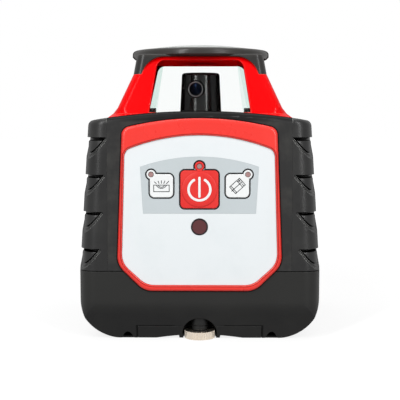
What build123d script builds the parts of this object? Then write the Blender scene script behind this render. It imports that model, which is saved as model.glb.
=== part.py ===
"""Rotary laser level: base with battery hatch, body with key panel, glazed lantern and spinning head.

All sizes are millimetres. The key panel faces -Y, X runs to its right and Z is up. The origin is the
mouth of the tripod thread, on the head's axis and level with the resting rails.
"""

import os
from math import cos, hypot, radians, sin, sqrt

from build123d import *

os.makedirs("parts", exist_ok=True)

# Body shell
body_width = 165.0
body_top_width = 151.6
body_depth = 150.0
body_corner_r = 12.0
seam_z = 47.5
seam_gap = 0.6
shoulder_z = 149.5
crown_rise = 6.8
top_edge_r = 4.0
wall = 3.0

# Base
base_side_r = 30.0
crease_z = 23.4
crease_r = 14.0
front_lean = 8.5
base_edge_r = 1.6
arch_half = 31.0
arch_rise = 2.8
base_floor = 6.0
ledge_height = 6.0
seal_width = 2.0
seal_depth = 0.8
tripod_boss_wall = 3.5
insert_wall = 3.56
insert_length = 14.0
thread_r = 7.94
case_screw_x = 49.5
case_screw_inset = 12.2
case_screw_r = 2.0
case_head_r = 4.2
case_head_h = 3.0
counterbore_gap = 1.3
counterbore_top = 31.0
case_boss_wall = 3.0
case_boss_h = 22.0
case_screw_reach = 15.0
column_wall = 2.6
case_screw_gap = 0.2

# Battery hatch
door_half = 42.5
hatch_behind_cells = 17.0
door_top_z = 9.0
door_floor = 3.0
door_wall = 3.0
door_gap = 0.3
door_rear_gap = 1.4
door_lift = 0.2
hinge_behind = 3.5
hinge_z = 2.5
hinge_pin_r = 1.2
hinge_ear_wall = 1.0
hinge_ear_x = 36.0
hinge_ear_w = 6.0
hinge_pin_length = 17.0
running_gap = 0.04
knob_r = 10.5
knob_h = 5.2
knob_inset = 10.5
knob_low = 0.3
knob_grooves = 40
knob_groove_r = 0.45
knob_niche_gap = 0.9
scoop_past_knob = 1.5
scoop_forward = 1.5
scoop_z = 4.5
scoop_wall = 2.5
screw_r = 2.9
screw_clear = 0.55
screw_washer_t = 0.6
screw_washer_w = 2.1
door_boss_wall = 2.6
nut_wall = 1.3
nut_h = 2.6
nut_boss_wall = 1.6
nut_sink = 0.5
ceiling_t = 2.5

# Batteries
cell_r = 7.1
cell_length = 46.0
cell_gap = 0.8
cell_count = 4
cell_nub_r = 2.6
cell_nub_h = 1.0
cells_behind_knob = 26.0
tray_lift = 1.6
tray_plate = 2.0
tray_back = 1.5
contact_t = 0.5
contact_spring_h = 2.2
contact_half = 5.0
battery_box_gap = 0.5
battery_box_wall = 2.0
hatch_pad_gap = 0.3
gasket_width = 3.0
gasket_gap = 0.1
gasket_margin = 1.0

# Corner grips
grip_t = 4.5
grip_inner_x = 62.4
grip_core_r = 22.0
grip_joint = 0.05
notch_count = 4
notch_pitch = 25.2
notch_drop = 10.9
notch_front = 14.5
notch_side = 26.0
notch_slope = 1.45
notch_reach = 16.0
notch_groove = 1.4
notch_groove_depth = 0.9

# Red bezel and white key panel
bezel_proud = 2.6
bezel_top_half = 52.1
bezel_top_drop = 4.8
bezel_arch = 6.7
bezel_side_half = 55.8
bezel_chamfer_rise = 5.0
bezel_bottom_half = 37.5
bezel_below_seam = 13.0
bezel_top_r = 6.0
bezel_low_r = 14.0
bezel_edge_r = 2.2
bezel_inner_r = 0.6
bezel_gap = 0.25
bezel_flange = 2.0
bezel_flange_t = 2.0
bezel_plate_t = 3.2
panel_side_margin = 3.2
panel_top_half = 50.3
panel_top_band = 14.9
panel_arch = 10.2
panel_bottom_margin = 4.3
panel_chamfer_drop = 1.5
panel_sink = 1.1
panel_t = 1.2
panel_gap = 0.1
bezel_rim = 4.0

# Keys, lamps and receiver
key_gap = 0.3
key_proud = 0.8
key_corner_r = 3.0
key_edge_r = 0.4
key_flange = 1.2
key_travel = 1.0
key_stem_r = 2.0
power_size = 25.5
key_row_drop = 40.9
power_dome_r = 10.8
power_dome_h = 0.7
power_dome_edge = 0.6
power_ear_r = 3.2
power_ear_rise = 15.5
side_key_size = 15.6
side_key_x = 25.5
side_key_rise = 2.4
side_ear_r = 3.0
side_ear_out = 7.0
side_ear_rise = 7.6
lamp_r = 1.6
receiver_r = 5.5
receiver_below = 25.4
receiver_proud = 0.3
receiver_flange = 1.4
board_t = 1.6
switch_h = 1.5
switch_size = 6.0
switch_play = 0.1
board_half = 44.0
board_below = 33.8
board_above = 22.2
board_post_r = 2.5
board_post_inset = 3.5

# Rear panel
rear_panel_width = 96.0
rear_panel_rise = 10.4
rear_panel_drop = 11.5
rear_panel_r = 10.0
rear_panel_depth = 2.0
rear_panel_gap = 0.15

# Lantern
pocket_depth = 2.5
pocket_gap = 0.4
flange_margin = 10.0
flange_r = 14.0
flange_h = 4.0
flare_mid_rise = 7.5
flare_mid_in = 4.5
foot_rise = 11.5
foot_in = 8.0
lantern_slope = 0.44
post_corner_r = 6.0
lantern_wall = 5.0
top_open_margin = 19.0
deck_rise = 4.5
deck_t = 3.0
deck_hole_gap = 3.2
sill_lip = 0.9
post_low_width = 23.4
post_top_width = 12.6
rear_low_extra = 7.5
rear_top_extra = 3.6
rear_pane_overlap = 1.0
window_r = 6.0
head_room = 7.3
roof_t = 2.5
pane_t = 2.0
pane_overlap = 4.0
pane_gap = 0.05
seat_height = 3.9
seat_show = 4.3
seat_width = 4.0

# Cap
cap_overhang = 9.2
cap_h = 6.0
cap_edge_r = 2.6
cap_lower_chamfer = 1.6
cap_rim = 5.0
cap_plate_rise = 4.2
cap_plate_sink = 0.4
tongue_t = 1.6
tongue_drop = 12.5
tongue_tip = 5.4
tongue_slope = 0.175
arch_corner_r = 16.0
lobe_h = 1.6
lobe_edge_r = 1.2

# Gimbal and tilting head
gimbal_drop = 10.0
platform_r = 30.0
platform_t = 8.0
ring_gap = 3.0
ring_width = 6.0
ring_h = 8.0
gimbal_pin_r = 1.5
pin_seat = 7.0
lug_gap = 4.5
lug_t = 6.0
lug_width = 11.0
chassis_t = 4.0
chassis_past_lead_x = 8.0
chassis_past_lead_y = 5.0
chassis_hole_gap = 3.5
chassis_column_inset_x = 8.0
chassis_column_inset_y = 7.0
chassis_column_r = 4.5
chassis_screw_r = 1.3
chassis_head_r = 2.8
chassis_head_h = 2.0
chassis_screw_depth = 6.0
top_wall = 3.5

# Laser
tube_r = 11.0
tube_wall = 2.5
tube_drop = 55.0
module_length = 20.0
module_flange_h = 3.0
module_bore_r = 2.0
lens_drop = 25.0
lens_t = 3.0

# Levelling drives, one along -X for roll and one along +Y for pitch
level_drop = 26.0
level_inside_lead = 7.0
rod_r = 1.5
rod_tip_past = 0.2
clamp_wall = 4.0
clamp_h = 7.0
slot_clear = 0.5
slot_side_clear = 2.9
nut_block_h = 8.0
nut_past_rod = 3.0
nut_past_lead = 5.0
nut_block_half = 15.0
lead_past_lug = 2.5
lead_r = 2.0
guide_r = 1.5
guide_offset = 12.0
slot_depth = 6.5
level_motor_r = 10.0
level_motor_h = 14.0
level_motor_below = 19.0
level_flange_t = 2.0
level_flange_half_x = 5.0
level_flange_half_y = 16.0
lead_in_motor = 7.0
level_angles = {"roll": 180.0, "pitch": 90.0}

# Level sensors
bracket_drop = 49.0
bracket_h = 8.0
bracket_past_tube = 25.0
bracket_half = 10.0
vial_r = 3.0
vial_length = 15.0
vial_sink = 0.4

# Spinning head and its drive
spindle_r = 6.0
spindle_bore_r = 4.0
bearing_ring = 4.5
bearing_w = 5.0
bearing_lift = 0.5
bearing_pitch = 13.0
bearing_shoulder = 0.5
hub_wall = 2.5
hub_gap = 1.5
hub_end_gap = 0.3
hub_cap_t = 1.2
beam_r = 4.0
pulley_step = 0.6
pulley_rim = 1.8
pulley_h = 5.0
pulley_flange_t = 0.8
motor_pulley_r = 4.0
pulley_clear = 2.0
motor_angle = -45.0
motor_r = 7.0
motor_length = 17.0
motor_shaft_r = 1.0
shaft_clear = 0.5
belt_t = 0.8
belt_h = 2.8
belt_gap = 0.12
head_skirt = 11.5
chamber_h = 14.0
head_wall = 2.3
head_taper = 1.4
head_edge_r = 2.0
head_roof = 2.7
chamber_ledge = 2.0
prism_size = 9.0
aperture_gap = 0.1
aperture_r = 6.5
aperture_bore_r = 5.0
aperture_length = 1.8
aperture_lens_t = 1.2
aperture_turn = -14.0

# Control board
control_half_x = 38.0
control_depth = 45.0
control_rear_gap = 13.0
control_z = 53.0
control_post_r = 3.0
control_post_inset = 5.0

# Worked-out places that several pieces share
half_depth = body_depth / 2
crown_z = shoulder_z + crown_rise
housing_low = seam_z + seam_gap
inner_inset = grip_t + wall
notch_top_z = shoulder_z - notch_drop
control_high_y = half_depth - control_rear_gap
control_low_y = control_high_y - control_depth

# Base and hatch
insert_r = thread_r + insert_wall
tripod_boss_r = insert_r + tripod_boss_wall
counterbore_r = case_head_r + counterbore_gap
case_boss_r = case_screw_r + case_boss_wall
case_screw_y = half_depth - case_screw_inset
knob_y = knob_inset - half_depth
cell_y = knob_y + cells_behind_knob
door_rear_y = cell_y + hatch_behind_cells
hinge_y = door_rear_y + hinge_behind
hinge_ear_r = hinge_pin_r + hinge_ear_wall
scoop_r = knob_r + scoop_past_knob
screw_washer_r = screw_r + screw_washer_w
door_boss_r = screw_r + door_boss_wall
nut_r = screw_r + nut_wall
nut_low = door_top_z + door_gap + nut_sink
screw_top = nut_low + nut_h
door_boss_top = door_top_z - door_lift
knob_top = knob_low + knob_h
door_boss_low = knob_top + screw_washer_t + gasket_gap
cell_pitch = 2 * cell_r + cell_gap
tray_low = door_top_z + tray_lift
tray_half = cell_pitch * cell_count / 2 + tray_plate / 2
tray_top = tray_low + 2 * tray_plate + cell_length + cell_nub_h + contact_spring_h + 2 * contact_t
tray_front_y = cell_y - cell_pitch / 2
tray_rear_y = cell_y + cell_pitch / 2 + tray_back

# Front: heights on the key panel, then distances ahead of the axis
bezel_corner_z = shoulder_z - bezel_top_drop
bezel_apex_z = bezel_corner_z + bezel_arch
bezel_chamfer_z = seam_z + bezel_chamfer_rise
bezel_bottom_z = seam_z - bezel_below_seam
panel_corner_z = bezel_corner_z - panel_top_band
panel_apex_z = panel_corner_z + panel_arch
power_z = bezel_corner_z - key_row_drop
power_ear_z = power_z + power_ear_rise
side_key_z = power_z + side_key_rise
side_ear_x = side_key_x + side_ear_out
side_ear_z = side_key_z + side_ear_rise
receiver_z = power_z - receiver_below
board_low = power_z - board_below
board_high = power_z + board_above
rear_panel_low = housing_low + rear_panel_rise
rear_panel_high = shoulder_z - rear_panel_drop
bezel_front = half_depth + bezel_proud
panel_front = bezel_front - panel_sink
panel_back = panel_front - panel_t
plate_back = panel_back - bezel_plate_t
cavity_front = half_depth - inner_inset
bezel_back = cavity_front - bezel_flange_t
key_front = panel_front + key_proud
key_flange_front = plate_back - running_gap
key_flange_back = key_flange_front - key_flange
stem_tip = key_flange_back - 2 * key_flange
switch_top = stem_tip - key_travel - switch_play
board_front = switch_top - switch_h
board_back = board_front - board_t

# Gimbal and drives
pocket_z = shoulder_z - pocket_depth
cavity_top = pocket_z - top_wall
gimbal_z = pocket_z - gimbal_drop
platform_top = gimbal_z + platform_t / 2
platform_low = gimbal_z - platform_t / 2
chassis_top = platform_low
chassis_low = chassis_top - chassis_t
ring_inner_r = platform_r + ring_gap
ring_outer_r = ring_inner_r + ring_width
chassis_hole_r = ring_outer_r + chassis_hole_gap
lug_inner_x = ring_outer_r + lug_gap
lead_radius = lug_inner_x + lug_t + lead_past_lug
level_radius = lead_radius - level_inside_lead
nut_block_inner = level_radius - nut_past_rod
nut_block_outer = lead_radius + nut_past_lead
chassis_half_x = lead_radius + chassis_past_lead_x
chassis_half_y = lead_radius + chassis_past_lead_y
chassis_column_x = chassis_half_x - chassis_column_inset_x
chassis_column_y = chassis_half_y - chassis_column_inset_y
rod_z = gimbal_z - level_drop
level_motor_top = rod_z - level_motor_below
tube_low = gimbal_z - tube_drop
lens_z = gimbal_z - lens_drop
bracket_low = gimbal_z - bracket_drop
bracket_reach = tube_r + bracket_past_tube

# Spinning head, from the spindle outwards and upwards
bearing_r = spindle_r + bearing_ring
hub_r = bearing_r + hub_wall
pulley_r = hub_r + pulley_step
pulley_flange_r = pulley_r + pulley_rim
motor_pulley_flange_r = motor_pulley_r + pulley_rim
motor_offset = pulley_flange_r + motor_pulley_flange_r + pulley_clear
motor_x = motor_offset * cos(radians(motor_angle))
motor_y = motor_offset * sin(radians(motor_angle))
hub_low = platform_top + hub_gap
bearing_low_z = hub_low + pulley_h + bearing_lift
bearing_high_z = bearing_low_z + bearing_pitch
spindle_top = bearing_high_z + bearing_w + bearing_shoulder
hub_top = spindle_top + hub_end_gap + hub_cap_t
head_low = hub_top - head_skirt
head_top = hub_top + chamber_h + head_roof
head_low_r = hub_r + head_wall
head_top_r = head_low_r - head_taper
chamber_r = hub_r - chamber_ledge
aperture_z = hub_top + prism_size / 2
aperture_inner = hub_r + aperture_gap
aperture_outer = aperture_inner + aperture_length

# Lantern and cap, round the head
flange_half = half_depth - flange_margin
flare_mid_z = pocket_z + flare_mid_rise
flare_mid_half = flange_half - flare_mid_in
lantern_foot_z = pocket_z + foot_rise
lantern_foot_half = flange_half - foot_in
lantern_top_open = flange_half - top_open_margin
deck_low = pocket_z + deck_rise
deck_top = deck_low + deck_t
deck_hole_r = head_low_r + deck_hole_gap
window_sill_z = deck_top + sill_lip
roof_low = head_top + head_room
roof_top = roof_low + roof_t
cap_top = roof_top + cap_h
lobe_top = roof_top + lobe_h
tongue_low_z = roof_top - tongue_drop
ON_FLOOR = (Align.CENTER, Align.CENTER, Align.MIN)


def half_width(z):
    """Half the body's width at a height: the sides lean in towards the shoulder."""
    lean = (body_width - body_top_width) / 2 / (shoulder_z - seam_z)
    return body_width / 2 - lean * (z - seam_z)


def lantern_half(z):
    """Half the lantern's outer width at a height."""
    return lantern_foot_half - lantern_slope * (z - lantern_foot_z)


window_sill_half = lantern_half(window_sill_z) - post_low_width
window_top_half = lantern_half(roof_low) - post_top_width
seat_inner = window_sill_half - seat_show
cap_r = lantern_half(roof_top) + cap_overhang
cap_plate_r = cap_r - cap_rim


def post(x, y, low, high, radius, mode=Mode.ADD):
    """Upright round post, or hole, between two heights."""
    with Locations((x, y, low)):
        Cylinder(radius, high - low, align=ON_FLOOR, mode=mode)


def block(x_range, y_range, z_range, mode=Mode.ADD):
    """Box between two corners, given as three ranges."""
    centre = [sum(span) / 2 for span in (x_range, y_range, z_range)]
    size = [span[1] - span[0] for span in (x_range, y_range, z_range)]
    with Locations(tuple(centre)):
        Box(*size, mode=mode)


def bar_x(x_low, x_high, y, z, radius, mode=Mode.ADD):
    """Round bar, or hole, along X."""
    with Locations(((x_low + x_high) / 2, y, z)):
        Cylinder(radius, x_high - x_low, rotation=(0, 90, 0), mode=mode)


def bar_y(x, y_low, y_high, z, radius, mode=Mode.ADD):
    """Round bar, or hole, along Y."""
    with Locations((x, (y_low + y_high) / 2, z)):
        Cylinder(radius, y_high - y_low, rotation=(90, 0, 0), mode=mode)


def tube(low, high, outer_r, inner_r):
    """Ring or tube on the vertical axis of the workplane."""
    post(0, 0, low, high, outer_r)
    post(0, 0, low, high, inner_r, mode=Mode.SUBTRACT)


def base_envelope(inset, floor_z, top_z):
    """Base shape where its front, side and plan outlines meet, shrunk all round by an inset."""
    half = body_width / 2 - inset
    depth = half_depth - inset
    height = top_z - floor_z
    with BuildPart() as envelope:
        with BuildSketch(Plane.XZ) as front_view:
            with Locations((0, floor_z)):
                Rectangle(2 * half, height, align=(Align.CENTER, Align.MIN))
            fillet(front_view.vertices().group_by(Axis.Y)[0], base_side_r - inset)
        extrude(amount=depth, both=True)
        foot = depth - front_lean * (crease_z - floor_z) / crease_z
        with BuildSketch(Plane.YZ) as side_view:
            right = [(depth, top_z), (depth, crease_z), (foot, floor_z)]
            Polygon(*right, *[(-y, z) for y, z in reversed(right)], align=None)
            creases = [v for v in side_view.vertices() if abs(v.Y - crease_z) < 0.01]
            fillet(creases, crease_r - inset)
            fillet(side_view.vertices().group_by(Axis.Y)[0], base_edge_r)
        extrude(amount=half, both=True, mode=Mode.INTERSECT)
        with BuildSketch(Plane.XY.offset(floor_z)):
            RectangleRounded(2 * half, 2 * depth, body_corner_r - inset)
        extrude(amount=height, mode=Mode.INTERSECT)
    return envelope.part


def body_envelope(side_inset, front_inset, corner_r, crown_drop):
    """Upper body shape with leaning sides, rounded corners and a crowned top."""
    foot = half_width(housing_low) - side_inset
    top = half_width(shoulder_z) - side_inset
    shoulder = shoulder_z - crown_drop
    with BuildPart() as envelope:
        with BuildSketch(Plane.XZ):
            with BuildLine():
                Polyline((-top, shoulder), (-foot, housing_low), (foot, housing_low), (top, shoulder))
                ThreePointArc((top, shoulder), (0, shoulder + crown_rise), (-top, shoulder))
            make_face()
        extrude(amount=half_depth - front_inset, both=True)
        upright = [edge for edge in envelope.edges() if edge.bounding_box().size.Z > body_depth / 2]
        fillet(upright, corner_r)
        if crown_drop == 0:
            crown = envelope.faces().filter_by(GeomType.CYLINDER).sort_by(Axis.Z)[-1]
            fillet(crown.edges(), top_edge_r)
    return envelope.part


def front_outline(top_half, corner_z, apex_z, side_half, chamfer_z, bottom_half, bottom_z, grow):
    """Key panel outline: arched top, leaning sides and cut-off lower corners."""
    with BuildSketch() as outline:
        with BuildLine():
            Polyline(
                (-top_half, corner_z),
                (-side_half, chamfer_z),
                (-bottom_half, bottom_z),
                (bottom_half, bottom_z),
                (side_half, chamfer_z),
                (top_half, corner_z),
            )
            ThreePointArc((top_half, corner_z), (0, apex_z), (-top_half, corner_z))
        make_face()
        fillet(outline.vertices().group_by(Axis.Y)[-1], bezel_top_r)
        fillet(outline.vertices().group_by(Axis.Y)[0], bezel_low_r)
        sides = [v for v in outline.vertices() if abs(v.Y - chamfer_z) < 1 and abs(abs(v.X) - side_half) < 1]
        fillet(sides, bezel_low_r)
        if grow:
            offset(amount=grow)
    return outline.sketch


def bezel_outline(grow=0.0):
    """Outer edge of the red bezel."""
    return front_outline(
        bezel_top_half,
        bezel_corner_z,
        bezel_apex_z,
        bezel_side_half,
        bezel_chamfer_z,
        bezel_bottom_half,
        bezel_bottom_z,
        grow,
    )


def panel_outline(grow=0.0):
    """Outer edge of the white key panel."""
    return front_outline(
        panel_top_half,
        panel_corner_z,
        panel_apex_z,
        bezel_side_half - panel_side_margin,
        bezel_chamfer_z + panel_chamfer_drop,
        bezel_bottom_half - panel_chamfer_drop,
        bezel_bottom_z + panel_bottom_margin,
        grow,
    )


def power_outline(grow=0.0):
    """Power key with the lamp's ear on its top edge."""
    with BuildSketch() as outline:
        with Locations((0, power_z)):
            RectangleRounded(power_size + 2 * grow, power_size + 2 * grow, key_corner_r + grow)
        with Locations((0, power_ear_z)):
            Circle(power_ear_r + grow)
    return outline.sketch


def side_outline(side, grow=0.0):
    """Side key with the lamp's ear on its outer top corner."""
    with BuildSketch() as outline:
        with Locations((side * side_key_x, side_key_z)):
            RectangleRounded(side_key_size + 2 * grow, side_key_size + 2 * grow, key_corner_r + grow)
        with Locations((side * side_ear_x, side_ear_z)):
            Circle(side_ear_r + grow)
    return outline.sketch


def front_slab(outline, front, back, mode=Mode.ADD):
    """Slab of an outline drawn on the front, between two distances ahead of the axis."""
    with BuildSketch(Plane.XZ.offset(back)) as slab:
        add(outline)
    extrude(slab.sketch, amount=front - back, mode=mode)


lamp_places = [(0, power_ear_z), (-side_ear_x, side_ear_z), (side_ear_x, side_ear_z)]
key_outlines = {
    "power_key": power_outline,
    "left_key": lambda grow=0.0: side_outline(-1, grow),
    "right_key": lambda grow=0.0: side_outline(1, grow),
}
key_centres = {
    "power_key": (0, power_z),
    "left_key": (-side_key_x, side_key_z),
    "right_key": (side_key_x, side_key_z),
}


def bezel_space(mode):
    """Room that the bezel takes in the front walls, with its flange behind them."""
    front_slab(bezel_outline(bezel_gap), bezel_front + 1, cavity_front - bezel_gap, mode)
    front_slab(bezel_outline(bezel_flange + bezel_gap), half_depth - wall, bezel_back - bezel_gap, mode)


def case_screw_places():
    """The four case screws in plan."""
    return [(x, y) for x in (-case_screw_x, case_screw_x) for y in (-case_screw_y, case_screw_y)]


# Base housing
with BuildPart() as base_housing:
    add(base_envelope(0, 0, seam_z))
    ledge_low = seam_z - ledge_height
    add(base_envelope(wall, base_floor, ledge_low), mode=Mode.SUBTRACT)
    with BuildSketch(Plane.XY.offset(ledge_low)):
        RectangleRounded(body_width - 2 * inner_inset, body_depth - 2 * inner_inset, wall)
    extrude(amount=ledge_height, mode=Mode.SUBTRACT)
    post(0, 0, 0, insert_length + door_floor, tripod_boss_r)
    for x, y in case_screw_places():
        post(x, y, 0, seam_z, counterbore_r + column_wall)
    ceiling = (door_top_z + door_gap, door_top_z + door_gap + ceiling_t)
    block((-door_half - wall, door_half + wall), (-half_depth, hinge_y), ceiling)
    with Locations((0, knob_y - scoop_forward, scoop_z)):
        Sphere(scoop_r + scoop_wall)
    add(base_envelope(0, 0, seam_z), mode=Mode.INTERSECT)
    arch_r = (arch_half**2 + arch_rise**2) / (2 * arch_rise)
    bar_y(0, -half_depth, -tripod_boss_r, arch_rise - arch_r, arch_r, mode=Mode.SUBTRACT)
    bar_y(0, tripod_boss_r, half_depth, arch_rise - arch_r, arch_r, mode=Mode.SUBTRACT)
    box_half = tray_half + battery_box_gap + battery_box_wall
    box_front = tray_front_y - battery_box_gap - battery_box_wall
    box_rear = tray_rear_y + battery_box_gap + battery_box_wall
    box_top = tray_top + battery_box_gap + battery_box_wall
    block((-box_half, box_half), (box_front, box_rear), (ceiling[0], box_top))
    for x in (control_post_inset - control_half_x, control_half_x - control_post_inset):
        for y in (control_low_y + control_post_inset, control_high_y - control_post_inset):
            post(x, y, base_floor - 1, control_z, control_post_r)
    opening_half = door_half + door_gap
    block(
        (-opening_half, opening_half),
        (-body_depth, door_rear_y + door_rear_gap),
        (-1, ceiling[0]),
        mode=Mode.SUBTRACT,
    )
    block(
        (-box_half + battery_box_wall, box_half - battery_box_wall),
        (box_front + battery_box_wall, box_rear - battery_box_wall),
        (0, box_top - battery_box_wall),
        mode=Mode.SUBTRACT,
    )
    with Locations((0, knob_y - scoop_forward, scoop_z)):
        Sphere(scoop_r, mode=Mode.SUBTRACT)
    post(0, knob_y, ceiling[0], scoop_z + scoop_r + scoop_wall / 2, nut_r + nut_boss_wall)
    post(0, knob_y, 0, nut_low + nut_h, nut_r, mode=Mode.SUBTRACT)
    post(0, knob_y, 0, screw_top + screw_clear, screw_r + screw_clear, mode=Mode.SUBTRACT)
    for side in (-1, 1):
        ear = sorted((side * (hinge_ear_x - hinge_ear_w / 2), side * (hinge_ear_x + hinge_ear_w / 2)))
        reach = hinge_ear_r + door_gap
        ear_space = (ear[0] - door_gap, ear[1] + door_gap)
        block(ear_space, (door_rear_y, hinge_y + reach), (-1, hinge_z + reach), mode=Mode.SUBTRACT)
        pin = (side * hinge_ear_x - hinge_pin_length / 2, side * hinge_ear_x + hinge_pin_length / 2)
        bar_x(pin[0], pin[1], hinge_y, hinge_z, hinge_pin_r, mode=Mode.SUBTRACT)
    for x, y in case_screw_places():
        post(x, y, -1, counterbore_top, counterbore_r, mode=Mode.SUBTRACT)
        post(x, y, 0, seam_z + 1, case_screw_r + case_screw_gap, mode=Mode.SUBTRACT)
    post(0, 0, -1, insert_length, insert_r, mode=Mode.SUBTRACT)
    bezel_space(Mode.SUBTRACT)
    with BuildSketch(Plane.XY.offset(seam_z)):
        outer = (body_width - 2 * grip_t - 1, body_depth - 2 * grip_t - 1)
        RectangleRounded(*outer, body_corner_r)
        inner = [size - 2 * seal_width for size in outer]
        RectangleRounded(*inner, body_corner_r - seal_width, mode=Mode.SUBTRACT)
    extrude(amount=-seal_depth, mode=Mode.SUBTRACT)
base_housing.part.label = "base_housing"
export_step(base_housing.part, "parts/base_housing.step")

# Rubber seal between base and body, cut away where the bezel crosses the seam
with BuildPart() as base_seal:
    with BuildSketch(Plane.XY.offset(seam_z - seal_depth)):
        RectangleRounded(*outer, body_corner_r)
        RectangleRounded(*inner, body_corner_r - seal_width, mode=Mode.SUBTRACT)
    extrude(amount=seal_depth + seam_gap)
    bezel_space(Mode.SUBTRACT)
base_seal.part.label = "base_seal"
export_step(base_seal.part, "parts/base_seal.step")

# Long case screws, driven up from the counterbores
with BuildPart() as base_screws:
    for x, y in case_screw_places():
        post(x, y, counterbore_top - case_head_h, counterbore_top, case_head_r)
        post(x, y, counterbore_top, housing_low + case_screw_reach, case_screw_r)
base_screws.part.label = "base_screws"
export_step(base_screws.part, "parts/base_screws.step")

# Brass tripod insert
with BuildPart() as tripod_insert:
    tube(0, insert_length, insert_r, thread_r)
tripod_insert.part.label = "tripod_insert"
export_step(tripod_insert.part, "parts/tripod_insert.step")


def hatch_hollow(floor_z):
    """Space inside the hatch's rim."""
    inner_half = door_half - door_wall
    with BuildPart() as hollow:
        add(base_envelope(door_wall, floor_z, seam_z))
        hatch = (-body_depth, door_rear_y - door_wall)
        block((-inner_half, inner_half), hatch, (0, seam_z), mode=Mode.INTERSECT)
    return hollow.part


# Battery hatch: curved lip, rim, thumb screw boss, pad under the tray and two hinge ears
with BuildPart() as battery_door:
    hatch_floor = arch_rise + door_floor
    add(base_envelope(0, 0, seam_z))
    bar_y(0, -half_depth, 0, arch_rise - arch_r, arch_r, mode=Mode.SUBTRACT)
    add(hatch_hollow(hatch_floor), mode=Mode.SUBTRACT)
    with Locations((0, knob_y - scoop_forward, scoop_z)):
        Sphere(scoop_r + scoop_wall)
    block(
        (-door_half, door_half),
        (-half_depth, door_rear_y),
        (door_lift, door_top_z),
        mode=Mode.INTERSECT,
    )
    add(base_envelope(0, 0, seam_z), mode=Mode.INTERSECT)
    with Locations((0, knob_y - scoop_forward, scoop_z)):
        Sphere(scoop_r, mode=Mode.SUBTRACT)
    post(0, knob_y, -1, door_boss_low, knob_r + knob_niche_gap, mode=Mode.SUBTRACT)
    post(0, knob_y, door_boss_low, door_boss_top, door_boss_r)
    web_rear = knob_y - scoop_forward + scoop_r + scoop_wall / 2
    block((-door_boss_r, door_boss_r), (knob_y, web_rear), (door_boss_low, door_boss_top))
    post(0, knob_y, 0, door_top_z, screw_r + screw_clear / 2, mode=Mode.SUBTRACT)
    pad_half = tray_half - cell_pitch / 2
    pad_y = (cell_y - cell_pitch / 4, cell_y + cell_pitch / 4)
    block((-pad_half, pad_half), pad_y, (hatch_floor - 1, tray_low - hatch_pad_gap))
    for side in (-1, 1):
        ear = sorted((side * (hinge_ear_x - hinge_ear_w / 2), side * (hinge_ear_x + hinge_ear_w / 2)))
        bar_x(ear[0], ear[1], hinge_y, hinge_z, hinge_ear_r)
        arm = (door_rear_y - 1, hinge_y)
        block(ear, arm, (hinge_z - hinge_ear_r, hinge_z + hinge_ear_r))
        bar_x(ear[0] - 1, ear[1] + 1, hinge_y, hinge_z, hinge_pin_r + running_gap, mode=Mode.SUBTRACT)
battery_door.part.label = "battery_door"
export_step(battery_door.part, "parts/battery_door.step")

# Rubber ring that seals the hatch against the battery box
with BuildPart() as door_gasket:
    ring_half = box_half + gasket_margin + gasket_width
    ring_y = (box_front - gasket_width + gasket_margin / 2, box_rear + gasket_width - gasket_margin)
    ring_z = (hatch_floor, ceiling[0] - gasket_gap)
    block((-ring_half, ring_half), ring_y, ring_z)
    block(
        (gasket_width - ring_half, ring_half - gasket_width),
        (ring_y[0] + gasket_width, ring_y[1] - gasket_width),
        ring_z,
        mode=Mode.SUBTRACT,
    )
door_gasket.part.label = "door_gasket"
export_step(door_gasket.part, "parts/door_gasket.step")

# Hinge pins, fixed in the base
with BuildPart() as door_hinge_pins:
    for side in (-1, 1):
        pin = (side * hinge_ear_x - hinge_pin_length / 2, side * hinge_ear_x + hinge_pin_length / 2)
        bar_x(pin[0], pin[1], hinge_y, hinge_z, hinge_pin_r)
door_hinge_pins.part.label = "door_hinge_pins"
export_step(door_hinge_pins.part, "parts/door_hinge_pins.step")

# Brass nut in the base and the knurled thumb screw with its washer
with BuildPart() as door_nut:
    post(0, knob_y, nut_low, nut_low + nut_h, nut_r)
    post(0, knob_y, nut_low, nut_low + nut_h, screw_r + screw_clear, mode=Mode.SUBTRACT)
door_nut.part.label = "door_nut"
export_step(door_nut.part, "parts/door_nut.step")

with BuildPart() as door_screw:
    with BuildSketch(Plane.XY.offset(knob_low)):
        with Locations((0, knob_y)):
            Circle(knob_r)
            with PolarLocations(knob_r, knob_grooves):
                Circle(knob_groove_r, mode=Mode.SUBTRACT)
    extrude(amount=knob_h)
    post(0, knob_y, knob_top, screw_top, screw_r)
door_screw.part.label = "door_screw"
export_step(door_screw.part, "parts/door_screw.step")

with BuildPart() as door_screw_washer:
    post(0, knob_y, knob_top, knob_top + screw_washer_t, screw_washer_r)
    post(0, knob_y, knob_top, knob_top + screw_washer_t, screw_r + running_gap, mode=Mode.SUBTRACT)
door_screw_washer.part.label = "door_screw_washer"
export_step(door_screw_washer.part, "parts/door_screw_washer.step")

# Battery tray: two end plates, two cheeks and a back
with BuildPart() as battery_tray:
    block((-tray_half, tray_half), (tray_front_y, tray_rear_y), (tray_low, tray_top))
    inside = (tray_low + tray_plate, tray_top - tray_plate)
    cheek = tray_half - tray_plate / 2
    block((-cheek, cheek), (tray_front_y, tray_rear_y - tray_back), inside, mode=Mode.SUBTRACT)
battery_tray.part.label = "battery_tray"
export_step(battery_tray.part, "parts/battery_tray.step")

# Cells stand side by side, every second one turned over
cell_places = [(i - (cell_count - 1) / 2) * cell_pitch for i in range(cell_count)]
with BuildPart() as battery_cells:
    for i, x in enumerate(cell_places):
        nub_down = i % 2
        low = inside[0] + contact_t + (cell_nub_h if nub_down else contact_spring_h)
        post(x, cell_y, low, low + cell_length, cell_r)
        nub_low = low - cell_nub_h if nub_down else low + cell_length
        post(x, cell_y, nub_low, nub_low + cell_nub_h, cell_nub_r)
battery_cells.part.label = "battery_cells"
export_step(battery_cells.part, "parts/battery_cells.step")

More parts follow.
